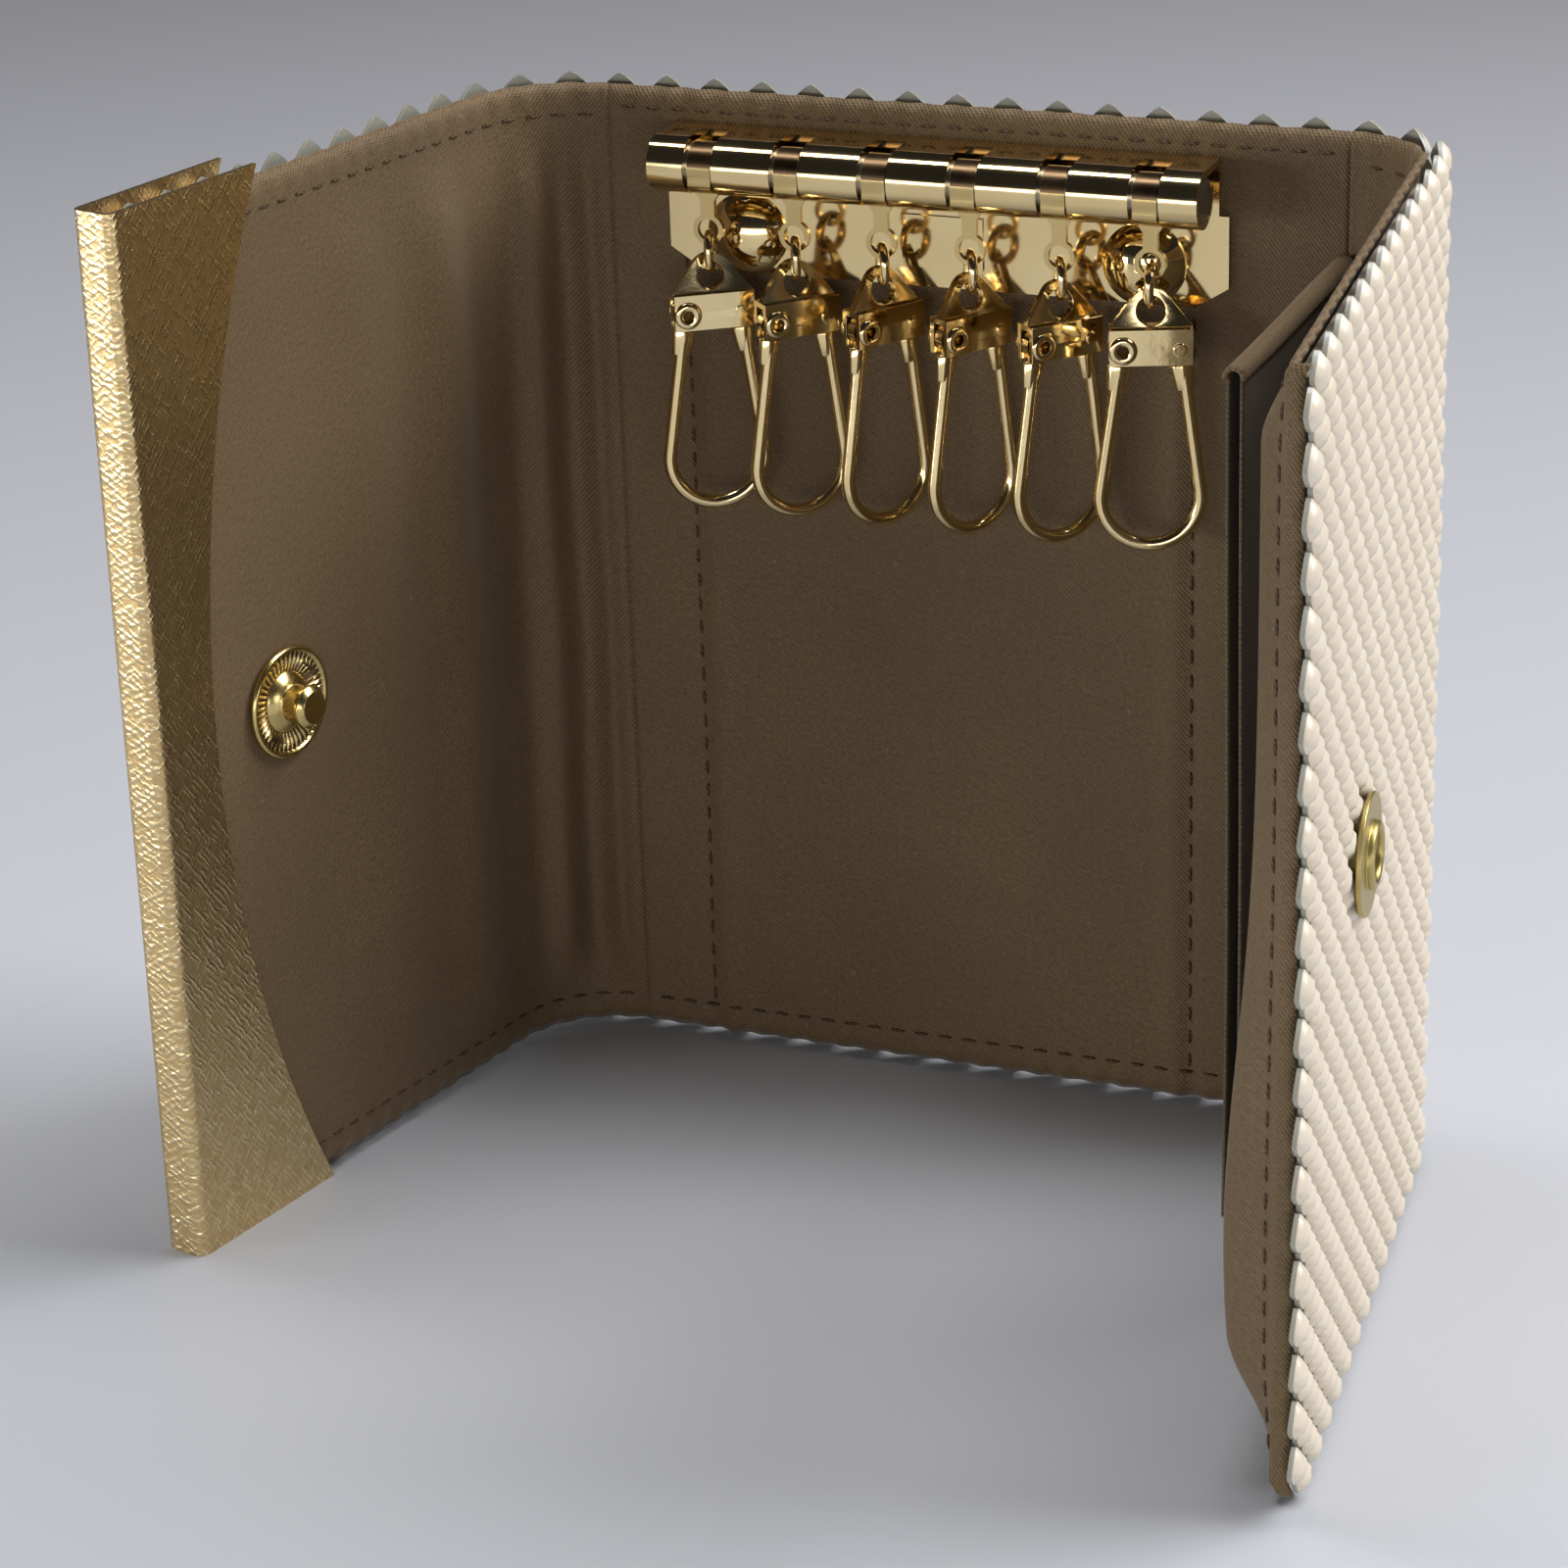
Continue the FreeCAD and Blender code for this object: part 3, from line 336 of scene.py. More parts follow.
def thread_material():
    """Brown sewing thread, twisted."""
    material, tree, shader = new_material("thread", Roughness=0.6)
    place = object_place(tree)
    twist = add(tree, "ShaderNodeTexWave", {"Vector": place, "Scale": 900.0}, bands_direction="DIAGONAL")
    colour = blend_colours(tree, twist.outputs["Fac"], (0.026, 0.012, 0.004), (0.115, 0.055, 0.019))
    tree.links.new(colour, shader.inputs["Base Color"])
    give_bump(tree, shader, twist.outputs["Fac"], strength=0.4, distance=0.0001)
    return material


def enamel_material(name, dull, clean):
    """Enamel on the tiles, with the tone of each patch a little different."""
    material, tree, shader = new_material(name, Coat_Weight=0.35, Coat_Roughness=0.12)
    place = object_place(tree)
    clouds = placed_group(tree, CLOUDS, place, Scale=180.0)
    colour = blend_colours(tree, clouds.outputs["Patches"], dull, clean)
    soiled = math_node(tree, "MULTIPLY", clouds.outputs["Specks"], 0.25)
    tree.links.new(blend_colours(tree, soiled, colour, SOIL), shader.inputs["Base Color"])
    rough = add(tree, "ShaderNodeMapRange", {"Value": clouds.outputs["Patches"], "To Min": 0.28, "To Max": 0.5})
    tree.links.new(rough.outputs[0], shader.inputs["Roughness"])
    give_bump(tree, shader, clouds.outputs["Patches"], strength=0.15, distance=0.0002)
    return material


def metal_material(name, deep, bright, rough, scale, relief=0.05):
    """Plated metal, with the slight cloudiness and specks of handling."""
    material, tree, shader = new_material(name, Metallic=1.0)
    place = object_place(tree)
    clouds = placed_group(tree, CLOUDS, place, Scale=scale)
    colour = blend_colours(tree, clouds.outputs["Patches"], deep, bright)
    tree.links.new(colour, shader.inputs["Base Color"])
    smear = math_node(tree, "ADD", clouds.outputs["Patches"],
                      math_node(tree, "MULTIPLY", clouds.outputs["Specks"], 0.5))
    dulled = add(tree, "ShaderNodeMapRange", {"Value": smear, "From Min": 0.3, "From Max": 0.9,
                                              "To Min": rough[0], "To Max": rough[1]})
    tree.links.new(dulled.outputs[0], shader.inputs["Roughness"])
    give_bump(tree, shader, clouds.outputs["Patches"], strength=relief, distance=0.0002)
    return material


def trim_material():
    """Satin gold with a crosshatch engraved over it, laid out in the left flap's own plane."""
    material, tree, shader = new_material("engraved_gold", Metallic=1.0)
    place = object_place(tree)
    turn = (0, 0, -(LEFT["sweep"] + math.pi))
    level = add(tree, "ShaderNodeMapping", {"Vector": place, "Rotation": turn}, vector_type="TEXTURE")
    strokes = placed_group(tree, HATCHING, level.outputs[0])
    clouds = placed_group(tree, CLOUDS, place, Scale=60.0)
    lift = math_node(tree, "ADD", clouds.outputs["Patches"], 0.4)
    tone = math_node(tree, "MULTIPLY", strokes.outputs["Height"], lift)
    colour = blend_colours(tree, tone, (0.60, 0.43, 0.20), (0.93, 0.76, 0.46))
    tree.links.new(colour, shader.inputs["Base Color"])
    rough = add(tree, "ShaderNodeMapRange", {"Value": strokes.outputs["Height"], "To Min": 0.36, "To Max": 0.2})
    tree.links.new(rough.outputs[0], shader.inputs["Roughness"])
    give_bump(tree, shader, strokes.outputs["Height"], strength=0.85, distance=0.00006)
    return material


def board_material():
    """Grey-brown pulp board."""
    material, tree, shader = new_material("pulp_board", Roughness=0.85)
    clouds = placed_group(tree, CLOUDS, object_place(tree), Scale=300.0)
    colour = blend_colours(tree, clouds.outputs["Patches"], (0.2, 0.16, 0.12), (0.34, 0.29, 0.23))
    tree.links.new(colour, shader.inputs["Base Color"])
    return material


lining = lining_material("lining_twill", (0.068, 0.043, 0.018), (0.236, 0.152, 0.073))
leaf_lining = lining_material("leaf_twill", (0.046, 0.033, 0.017), (0.170, 0.126, 0.070))
thread = thread_material()
enamel = enamel_material("ivory_enamel", (0.72, 0.61, 0.47), (0.82, 0.74, 0.61))
# The tiles' sides: a grey-green enamel of their own, made darker as painted shade in the gaps between tiles
tile_side_and_gap_shade = enamel_material("tile_side_enamel_and_gap_shade", (0.24, 0.235, 0.195), (0.42, 0.41, 0.35))
engraved_gold = trim_material()
polished_gold = metal_material("polished_gold", (0.80, 0.60, 0.28), (0.90, 0.72, 0.40), (0.07, 0.16), 120.0,
                               relief=0.03)
hook_gold = metal_material("hook_gold", (0.82, 0.62, 0.30), (0.92, 0.75, 0.43), (0.08, 0.2), 160.0, relief=0.3)
strap_gold = metal_material("strap_gold", (0.55, 0.40, 0.16), (0.70, 0.53, 0.25), (0.18, 0.3), 160.0,
                            relief=0.2)
snap_brass = metal_material("snap_brass", (0.58, 0.43, 0.15), (0.76, 0.60, 0.27), (0.16, 0.3), 200.0)
dull_brass = metal_material("dull_brass", (0.40, 0.31, 0.11), (0.56, 0.45, 0.19), (0.34, 0.5), 200.0)
rod_steel = metal_material("rod_steel", (0.34, 0.33, 0.31), (0.52, 0.51, 0.48), (0.22, 0.35), 200.0)
# Dark bronze on the rivet and stud posts. On the straps inside the rail's slots it is painted shade, and in the
# washer's flute grooves it is painted shade with dirt.
dark_bronze_and_painted_shade = metal_material("dark_bronze_and_painted_shade", (0.09, 0.055, 0.03), (0.20, 0.13, 0.07), (0.25, 0.4), 260.0)
board = board_material()


# Lining
def cloth(name, width, height, columns, rows, place, material, inward, thickness=0.45 * MM):
    """A sheet of lining; place gives the point for a share of its width and height, inward its shown side."""
    bm = bmesh.new()
    bmesh.ops.create_grid(bm, x_segments=columns, y_segments=rows, size=0.5)
    chart = bm.loops.layers.uv.new("cloth")
    for face in bm.faces:
        for loop in face.loops:
            spot = loop.vert.co
            loop[chart].uv = ((spot.x + 0.5) * width / UV_SPAN, (spot.y + 0.5) * height / UV_SPAN)
    for vert in bm.verts:
        vert.co = place(vert.co.x + 0.5, vert.co.y + 0.5)
    bm.normal_update()
    middle = sorted(bm.faces, key=lambda face: face.index)[len(bm.faces) // 2]
    if middle.normal.dot(inward) < 0:
        bmesh.ops.reverse_faces(bm, faces=bm.faces[:])
    piece = finished(name, bm, [material])
    thick = piece.modifiers.new("cloth_thickness", "SOLIDIFY")
    thick.thickness = thickness
    thick.offset = -1
    return piece


CLOTH_LOW = 0.8 * MM
CLOTH_HIGH = HEIGHT - 0.3 * MM
CLOTH_HEIGHT = CLOTH_HIGH - CLOTH_LOW
HEM_TURN = 1.2 * MM
HEM_EASE = 9 * MM
SCALLOP = 0.18 * MM
SCALLOP_RADIANS_PER_MM = 2.1


def edge_distance(z):
    """How far a height is from the cloth's upper or lower edge."""
    return min(z - CLOTH_LOW, CLOTH_HIGH - z)


def hem_roll(z):
    """How far the cloth turns outwards at its upper and lower edge."""
    return LINING * (1 - ramp(edge_distance(z), 0, HEM_TURN))


def hem_hold(z):
    """Zero at the sewn hems, one away from them."""
    return ramp(edge_distance(z), HEM, HEM + HEM_EASE)


def scallop(q, z):
    """The slight waves of a hem between its stitches."""
    near = 1 - ramp(edge_distance(z), 0, HEM)
    return SCALLOP * near * math.sin(q / MM * SCALLOP_RADIANS_PER_MM)


# Back: its seams, measured from the middle, sink a little and the cloth puffs out beside them
MIDDLE_RUN = 34.1 * MM
BACK_MIDDLE = BACK_LEFT + MIDDLE_RUN
LEFT_SEAM = -26.5 * MM
RIGHT_SEAM = 24.2 * MM
SEAM_HALF = 0.7 * MM
SEAM_SINK = 0.2 * MM
PUFF_AWAY = 1.8 * MM
PUFF_HALF = 1.3 * MM
PUFF = 0.28 * MM
WAVE = 0.35 * MM
WAVE_SPAN = (14 * MM, 30 * MM)
WAVE_LAYER = 0.3
BACK_ENDS = 4 * MM
RAIL_FOOT = (76 * MM, 82 * MM)


def back_place(across, up):
    """The back's lining: two sewn seams, and the cloth between them a little full."""
    x = BACK_LEFT + across * back_width
    z = CLOTH_LOW + up * CLOTH_HEIGHT
    q = x - BACK_MIDDLE
    seams = bump(q, LEFT_SEAM, SEAM_HALF) + bump(q, RIGHT_SEAM, SEAM_HALF)
    beside = bump(q, LEFT_SEAM + PUFF_AWAY, PUFF_HALF) + bump(q, RIGHT_SEAM - PUFF_AWAY, PUFF_HALF)
    ends = ramp(min(x - BACK_LEFT, BACK_RIGHT - x), 0, BACK_ENDS)
    wave = noise.noise(Vector((q / WAVE_SPAN[0], z / WAVE_SPAN[1], WAVE_LAYER))) * WAVE * hem_hold(z)
    full = (beside * PUFF + wave) * ends * (1 - ramp(z, *RAIL_FOOT))
    return Vector((x, BACK_Y - full + seams * SEAM_SINK + hem_roll(z) + scallop(q, z) * ends, z))


# Left flap: each soft fold's height, run, share of the sway and half width, in mm
LEFT_FOLDS = ((1.1, 1.9, 0.3, 1.3), (-0.8, 5.0, 0.5, 1.3), (1.4, 8.4, 0.5, 2.0), (0.4, 13.5, -1, 2.4),
              (1.2, 21.0, 1, 3.8), (0.45, 33.0, 1, 4.5))
SWAY = 1.6
SWAY_SPAN = 28 * MM
SWAY_ROW = 3.1
LEFT_START = 2.5 * MM
LEFT_STOP = (6 * MM, 20 * MM)
left_width = fold_run(LEFT) + LEFT_PANEL_END


def left_place(across, up):
    """The left flap's lining with its fold, where the cloth stands in soft upright folds."""
    z = CLOTH_LOW + up * CLOTH_HEIGHT
    run = across * left_width
    sway = noise.noise(Vector((z / SWAY_SPAN, SWAY_ROW, 0))) * SWAY
    folds = sum(rise * bump(run / MM, middle + sway * share, half) for rise, middle, share, half in LEFT_FOLDS)
    ends = ramp(run, 0, LEFT_START) * ramp(left_width - run, *LEFT_STOP)
    depth = -folds * MM * hem_hold(z) * ends + hem_roll(z) + scallop(run, z)
    return along(LEFT, run, depth, z)


# Right fold and right flap: ripples, and the bag behind the free edge, where the cloth is turned in
RIPPLE = 0.5 * MM
RIPPLE_RADIANS_PER_MM = 0.9
RIPPLE_ENDS = 2 * MM
RIGHT_HEM = RIGHT_REACH - 1.1 * MM
HEM_WRAP = 1.7 * MM
WRAP_OUT = 0.3 * MM
RIGHT_CUT = RIGHT_HEM + HEM_WRAP
WRAP_START = RIGHT_HEM / RIGHT_CUT
BAG = 2.6 * MM
LOW_BAG = 2.4 * MM
LOW_BAG_HEIGHT = 22 * MM
LOW_BAG_HALF = 24 * MM
BAG_EDGE = 5 * MM
BAG_ROOT = 26 * MM
BAG_FOOT = 12 * MM
BAG_HEAD = 8 * MM


def right_fold_place(across, up):
    """The lining round the right fold."""
    z = CLOTH_LOW + up * CLOTH_HEIGHT
    run = across * fold_run(RIGHT)
    ends = ramp(run, 0, RIPPLE_ENDS) * ramp(fold_run(RIGHT) - run, 0, RIPPLE_ENDS)
    ripple = RIPPLE * ends * hem_hold(z) * math.sin(run / MM * RIPPLE_RADIANS_PER_MM)
    return along(RIGHT, run, -ripple + hem_roll(z) + scallop(run, z), z)


def right_place(across, up):
    """The right flap's lining, which bags inwards behind its free edge."""
    z = CLOTH_LOW + up * CLOTH_HEIGHT
    reach = min(across / WRAP_START, 1) * RIGHT_HEM
    bag = BAG + LOW_BAG * bump(z, LOW_BAG_HEIGHT, LOW_BAG_HALF)
    sides = ramp(RIGHT_HEM - reach, 0, BAG_EDGE) * ramp(reach, 0, BAG_ROOT)
    held = ramp(z - CLOTH_LOW, 0, BAG_FOOT) * ramp(CLOTH_HIGH - z, 0, BAG_HEAD)
    depth = -bag * sides * held + hem_roll(z) + scallop(reach, z)
    wrap = max(0, across - WRAP_START) / (1 - WRAP_START)
    reach += WRAP_OUT * math.sin(wrap * math.pi / 2)
    return along(RIGHT, fold_run(RIGHT) + reach, depth + wrap * HEM_WRAP, z)


CLOTH_ROWS = 110
back_in = Vector((0, -1, 0))
left_in = -facing(LEFT, LEFT["sweep"])[0]
right_in = -facing(RIGHT, RIGHT["sweep"])[0]
right_fold_in = Vector((-1, -1, 0))
back_cloth = cloth("back_cloth", back_width, CLOTH_HEIGHT, 150, CLOTH_ROWS, back_place, lining, back_in)
left_cloth = cloth("left_cloth", left_width, CLOTH_HEIGHT, 130, CLOTH_ROWS, left_place, lining, left_in)
right_fold_cloth = cloth("right_fold_cloth", fold_run(RIGHT), CLOTH_HEIGHT, 30, CLOTH_ROWS, right_fold_place,
                         lining, right_fold_in)
right_cloth = cloth("right_cloth", RIGHT_CUT, CLOTH_HEIGHT, 96, CLOTH_ROWS, right_place, lining, right_in)

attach(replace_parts(back_cloth, "back_lining"), "back")
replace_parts(left_cloth, "left_lining", "left_fold_lining")
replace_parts(right_fold_cloth, "right_fold_lining")
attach(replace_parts(right_cloth, "right_lining"), "right_flap")
along(LEFT, 0, 0, 0)
along(LEFT, fold_run(LEFT), 0, 0)
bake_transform(left_cloth)
along(RIGHT, 0, 0, 0)
along(RIGHT, fold_run(RIGHT), 0, 0)
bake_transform(right_fold_cloth)
along(RIGHT, fold_run(RIGHT), 0, 0)
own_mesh(right_cloth)


# Pocket leaf of doubled cloth, with a rolled upper edge
leaf_low, leaf_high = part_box("pocket_leaf")
LEAF_RUN = leaf_high.y - leaf_low.y
LEAF_HALF = (leaf_high.x - leaf_low.x) / 2
LEAF_MIDDLE = (leaf_high.x + leaf_low.x) / 2
LEAF_TALL = leaf_high.z - leaf_low.z
LEAF_SWAY = 0.12 * MM
LEAF_SWAY_TURN = 5.2
LEAF_RIPPLE = 0.06 * MM
LEAF_RIPPLE_TURNS = (7, 3)
LEAF_JOIN = 0.03
LEAF_GAP = 0.9
LEAF_PARTING = 0.6
LEAF_PARTS_FROM = 0.6
LEAF_CLOTH = 0.3 * MM
ROLL_TURN = math.pi * 1.15
ROLL_RADIUS = LEAF_HALF + 0.1 * MM
ROLL_WIDTH = 2.4 * MM
ROLL_OUT = 0.4 * MM
ROLL_SINK = 0.45 * MM


def leaf_sag(out, up):
    """The leaf's slight waves."""
    ripple = math.sin(out * LEAF_RIPPLE_TURNS[0] + up * LEAF_RIPPLE_TURNS[1])
    return LEAF_SWAY * math.sin(up * LEAF_SWAY_TURN) * out + LEAF_RIPPLE * ripple


def leaf_place(across, up):
    """Two layers that meet at the sewn edge and part a little at the free edge."""
    z = leaf_low.z + up * LEAF_TALL
    share = across * 2 - 1
    out = abs(share)
    near = 1 - ramp(out, 0, LEAF_JOIN)
    apart = LEAF_GAP + LEAF_PARTING * ramp(out, LEAF_PARTS_FROM, 1)
    gap = LEAF_HALF * apart * math.copysign(1 - near, share)
    return Vector((LEAF_MIDDLE + gap + leaf_sag(out, up), leaf_high.y - out * LEAF_RUN, z))


def leaf_roll_place(across, up):
    """A narrow binding rolled over the leaf's upper edge."""
    turn = (across - 0.5) * ROLL_TURN
    x = LEAF_MIDDLE + leaf_sag(up, 1) + math.sin(turn) * ROLL_RADIUS
    z = leaf_high.z - ROLL_SINK + math.cos(turn) * ROLL_RADIUS
    return Vector((x, leaf_high.y - ROLL_OUT - up * LEAF_RUN, z))


leaf_cloth = cloth("leaf_cloth", 2 * LEAF_RUN, LEAF_TALL, 120, 60, leaf_place, leaf_lining, Vector((0, 1, 0)),
                   LEAF_CLOTH)
leaf_roll = cloth("leaf_roll", ROLL_WIDTH, LEAF_RUN, 12, 40, leaf_roll_place, lining, UP)
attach(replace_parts(leaf_cloth, "pocket_leaf"), "pocket")
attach(leaf_roll, "pocket")


# Stitching: each stitch, the lines along the hems and seams, and where those lines start and stop
STITCH = 1.75 * MM
STITCH_PITCH = 2.5 * MM
THREAD = 0.19 * MM
PROUD = 0.08 * MM
LOW_LINE = CLOTH_LOW + HEM
HIGH_LINE = CLOTH_HIGH - HEM
BACK_HIGH_LINE = HIGH_LINE + 1 * MM
EDGE_LINE = RIGHT_HEM - 1.2 * MM
INSET = 1 * MM
LOW_TRIM = 14 * MM
HIGH_TRIM = 16 * MM


def stitches(name, places):
    """A run of separate stitches, each a short thread between two points that sinks at its ends."""
    bm = bmesh.new()
    for first, last in places:
        middle = (first + last) / 2
        way = last - first
        turn = way.to_track_quat("X", "Z").to_matrix().to_4x4()
        shape = Matrix.Translation(middle) @ turn @ Matrix.Diagonal((way.length / 2, THREAD, THREAD, 1))
        bmesh.ops.create_icosphere(bm, subdivisions=1, radius=1, matrix=shape)
    piece = finished(name, bm, [thread])
    return piece


def stitch_run(place, start, stop):
    """Pairs of points for stitches from start to stop along a line on the cloth."""
    count = int(abs(stop - start) / STITCH_PITCH)
    pairs = []
    for i in range(count):
        middle = start + (stop - start) * (i + 0.5) / count
        pairs.append((place(middle - STITCH / 2), place(middle + STITCH / 2)))
    return pairs


def on_cloth(place, width, inward):
    """Points on a cloth at a run and a height, just proud of it where inward is given."""
    return lambda run, z: place(run / width, (z - CLOTH_LOW) / CLOTH_HEIGHT) + inward * PROUD


def hem_line(on, z, stop):
    """Stitches along a hem at one height."""
    return stitch_run(lambda run: on(run, z), INSET, stop)


def seam_line(on, run):
    """Stitches up a seam, from hem to hem."""
    return stitch_run(lambda z: on(run, z), LOW_LINE, HIGH_LINE)


on_back = on_cloth(back_place, back_width, back_in)
on_left = on_cloth(left_place, left_width, Vector())
on_right_fold = on_cloth(right_fold_place, fold_run(RIGHT), Vector())
on_right = on_cloth(right_place, RIGHT_CUT, right_in)
back_pairs = hem_line(on_back, LOW_LINE, back_width - INSET)
back_pairs += hem_line(on_back, BACK_HIGH_LINE, back_width - INSET)
for seam in (LEFT_SEAM, RIGHT_SEAM):
    back_pairs += seam_line(on_back, MIDDLE_RUN + seam)
left_pairs = hem_line(on_left, LOW_LINE, left_width - LOW_TRIM)
left_pairs += hem_line(on_left, HIGH_LINE, left_width - HIGH_TRIM)
right_fold_pairs = hem_line(on_right_fold, LOW_LINE, fold_run(RIGHT) - INSET)
right_fold_pairs += hem_line(on_right_fold, HIGH_LINE, fold_run(RIGHT) - INSET)
right_pairs = hem_line(on_right, LOW_LINE, RIGHT_HEM - HEM)
right_pairs += hem_line(on_right, HIGH_LINE, RIGHT_HEM - HEM)
right_pairs += seam_line(on_right, EDGE_LINE)

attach(stitches("back_stitches", back_pairs), "back")
left_stitches = stitches("left_stitches", left_pairs)
right_fold_stitches = stitches("right_fold_stitches", right_fold_pairs)
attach(stitches("right_stitches", right_pairs), "right_flap")
along(LEFT, 0, 0, 0)
along(LEFT, fold_run(LEFT), 0, 0)
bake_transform(left_stitches)
along(RIGHT, 0, 0, 0)
along(RIGHT, fold_run(RIGHT), 0, 0)
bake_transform(right_fold_stitches)


# Mesh of pillow tiles, counted from the right flap's free edge round to the left flap's
TILE_ACROSS = 4.9 * MM
TILE_ROWS = 23
MESH_TOP = 100.8 * MM
TILE_HALF_UP = MESH_TOP / (2 * TILE_ROWS)
TILE_FILL = 0.93
TILE_STEPS = 4
TILE_BLUNT = 0.12
RIGHT_MESH_RUN = fold_run(RIGHT, MESH_DEPTH) + RIGHT_REACH
LEFT_MESH_START = RIGHT_MESH_RUN + back_width
LEFT_MESH_RUN = fold_run(LEFT, MESH_DEPTH) + LEFT_PANEL_END

# A tile's rim, the swell above it and its upright sides, as shares of the mesh's thickness, and how square
# the swell is
TILE_RIM = 0.34
TILE_SWELL = 0.64
TILE_SIDE = 0.3
TILE_SQUARENESS = 3.4


def mesh_place(run, height, z):
    """A point on the mesh at a run from the right flap's free edge."""
    depth = MESH_DEPTH + height
    if run < RIGHT_MESH_RUN:
        return along(RIGHT, RIGHT_MESH_RUN - run, depth, z, MESH_DEPTH)
    if run < LEFT_MESH_START:
        return Vector((BACK_RIGHT - (run - RIGHT_MESH_RUN), BACK_Y + depth, z))
    return along(LEFT, run - LEFT_MESH_START, depth, z, MESH_DEPTH)


def one_tile(bm):
    """A pillow tile on its corner, with upright sides below its enamel, in a darker grey-green that is partly
    painted shade.
    """
    made = bmesh.ops.create_grid(bm, x_segments=TILE_STEPS, y_segments=TILE_STEPS, size=0.5)
    for vert in made["verts"]:
        x, y = 2 * vert.co.x, 2 * vert.co.y
        swell = (1 - abs(x) ** TILE_SQUARENESS) * (1 - abs(y) ** TILE_SQUARENESS)
        vert.co.z = MESH * (TILE_RIM + TILE_SWELL * swell)
        vert.co.xy *= 1 - TILE_BLUNT * abs(x * y) ** 3
    rims = [edge for edge in bm.edges if edge.is_boundary]
    walls = bmesh.ops.extrude_edge_only(bm, edges=rims)
    lowered = [item for item in walls["geom"] if isinstance(item, bmesh.types.BMVert)]
    bmesh.ops.translate(bm, verts=lowered, vec=(0, 0, -TILE_SIDE * MESH))
    # The sides take the second material: grey-green, partly painted shade in the gaps
    for face in walls["geom"]:
        if isinstance(face, bmesh.types.BMFace):
            face.material_index = 1
    feet = [edge for edge in bm.edges if edge.is_boundary]
    bmesh.ops.contextual_create(bm, geom=feet)
    bmesh.ops.rotate(bm, verts=bm.verts[:], matrix=Matrix.Rotation(math.pi / 4, 3, "Z"))
    span = math.sqrt(0.5)
    fit = (TILE_FILL * TILE_ACROSS / 2 / span, TILE_FILL * TILE_HALF_UP / span, 1)
    bmesh.ops.scale(bm, verts=bm.verts[:], vec=fit)
    face_out(bm)


def tile_rows(bm, first_run, first_z, columns, rows):
    """Tiles in straight rows and columns from one corner."""
    tiles = bmesh.new()
    one_tile(tiles)
    bmesh.ops.translate(tiles, verts=tiles.verts[:], vec=(first_run, first_z, 0))
    for step, count in (((TILE_ACROSS, 0, 0), columns), ((0, 2 * TILE_HALF_UP, 0), rows)):
        whole = tiles.verts[:] + tiles.edges[:] + tiles.faces[:]
        bmesh.ops.spin(tiles, geom=whole, cent=(0, 0, 0), axis=UP, dvec=step, angle=0, steps=count - 1,
                       use_duplicate=True)
    flat = bpy.data.meshes.new("tile_rows")
    tiles.to_mesh(flat)
    tiles.free()
    bm.from_mesh(flat)
    bpy.data.meshes.remove(flat)


def on_tile(point, foot):
    """Whether a point lies within the diamond of the tile round a foot."""
    return abs(point.x - foot.x) / TILE_ACROSS + abs(point.y - foot.y) / (2 * TILE_HALF_UP) < 0.5


def tiled_mesh(name, run_low, run_high, gap=None):
    """All tiles whose middle lies between two runs, bent to the case.

    gap is the run, height and radius of a hole, where whole tiles are left out.
    """
    bm = bmesh.new()
    for shift in (0, 1):
        start = TILE_ACROSS * (0.5 + shift / 2)
        first = math.ceil((run_low - start) / TILE_ACROSS)
        last = math.ceil((run_high - start) / TILE_ACROSS)
        tile_rows(bm, start + first * TILE_ACROSS, TILE_HALF_UP * (1 + shift), last - first,
                  TILE_ROWS - shift)
    if gap:
        hole_run, hole_z, radius = gap
        # Only the underside of a tile has more than four corners
        feet = [face.calc_center_median() for face in bm.faces if len(face.verts) > 4]
        left_out = [foot for foot in feet if math.hypot(foot.x - hole_run, foot.y - hole_z) < radius]
        inside = [vert for vert in bm.verts if any(on_tile(vert.co, foot) for foot in left_out)]
        bmesh.ops.delete(bm, geom=inside, context="VERTS")
    for vert in bm.verts:
        vert.co = mesh_place(vert.co.x, vert.co.z, vert.co.y)
    bm.normal_update()
    piece = finished(name, bm, [enamel, tile_side_and_gap_shade], smooth_angle=50)
    return piece


SOCKET_REACH = back_width - STUD_REACH
SOCKET_CLEAR = 3.3 * MM
socket_hole = (RIGHT_REACH - SOCKET_REACH, SNAP_HEIGHT, SOCKET_CLEAR)
right_tiles = tiled_mesh("right_tiles", 0, RIGHT_MESH_RUN, socket_hole)
back_tiles = tiled_mesh("back_tiles", RIGHT_MESH_RUN, LEFT_MESH_START)
left_tiles = tiled_mesh("left_tiles", LEFT_MESH_START, LEFT_MESH_START + LEFT_MESH_RUN - TILE_ACROSS / 2)
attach(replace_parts(back_tiles, "back_mesh"), "back")
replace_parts(left_tiles, "left_mesh", "left_fold_mesh")
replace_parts(right_tiles, "right_mesh", "right_fold_mesh")
along(LEFT, 0, 0, 0)
along(LEFT, fold_run(LEFT), 0, 0)
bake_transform(left_tiles)
along(RIGHT, 0, 0, 0)
along(RIGHT, fold_run(RIGHT), 0, 0)
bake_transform(right_tiles)


# Snap's rosette washer with its radial flutes; radii and rises of the profile in mm
WASHER_PROFILE = ((1.9, 0.02), (2.9, 0.02), (3.0, 0.36), (3.4, 0.42), (3.9, 0.5), (4.4, 0.6), (4.75, 0.66),
                  (4.85, 0.82), (5.05, 0.94), (5.28, 0.86), (5.4, 0.6), (5.3, 0.3), (5.05, 0.16), (4.9, -0.2),
                  (1.9, -0.2))
FLUTES = 44
FLUTE_STEPS = 4
FLUTE_DEPTH = 0.15 * MM
FLUTE_START = (3.0 * MM, 3.5 * MM)
FLUTE_STOP = (4.5 * MM, 4.8 * MM)
GROOVE_STOP = 4.7 * MM
WASHER_TOP = 0.2 * MM


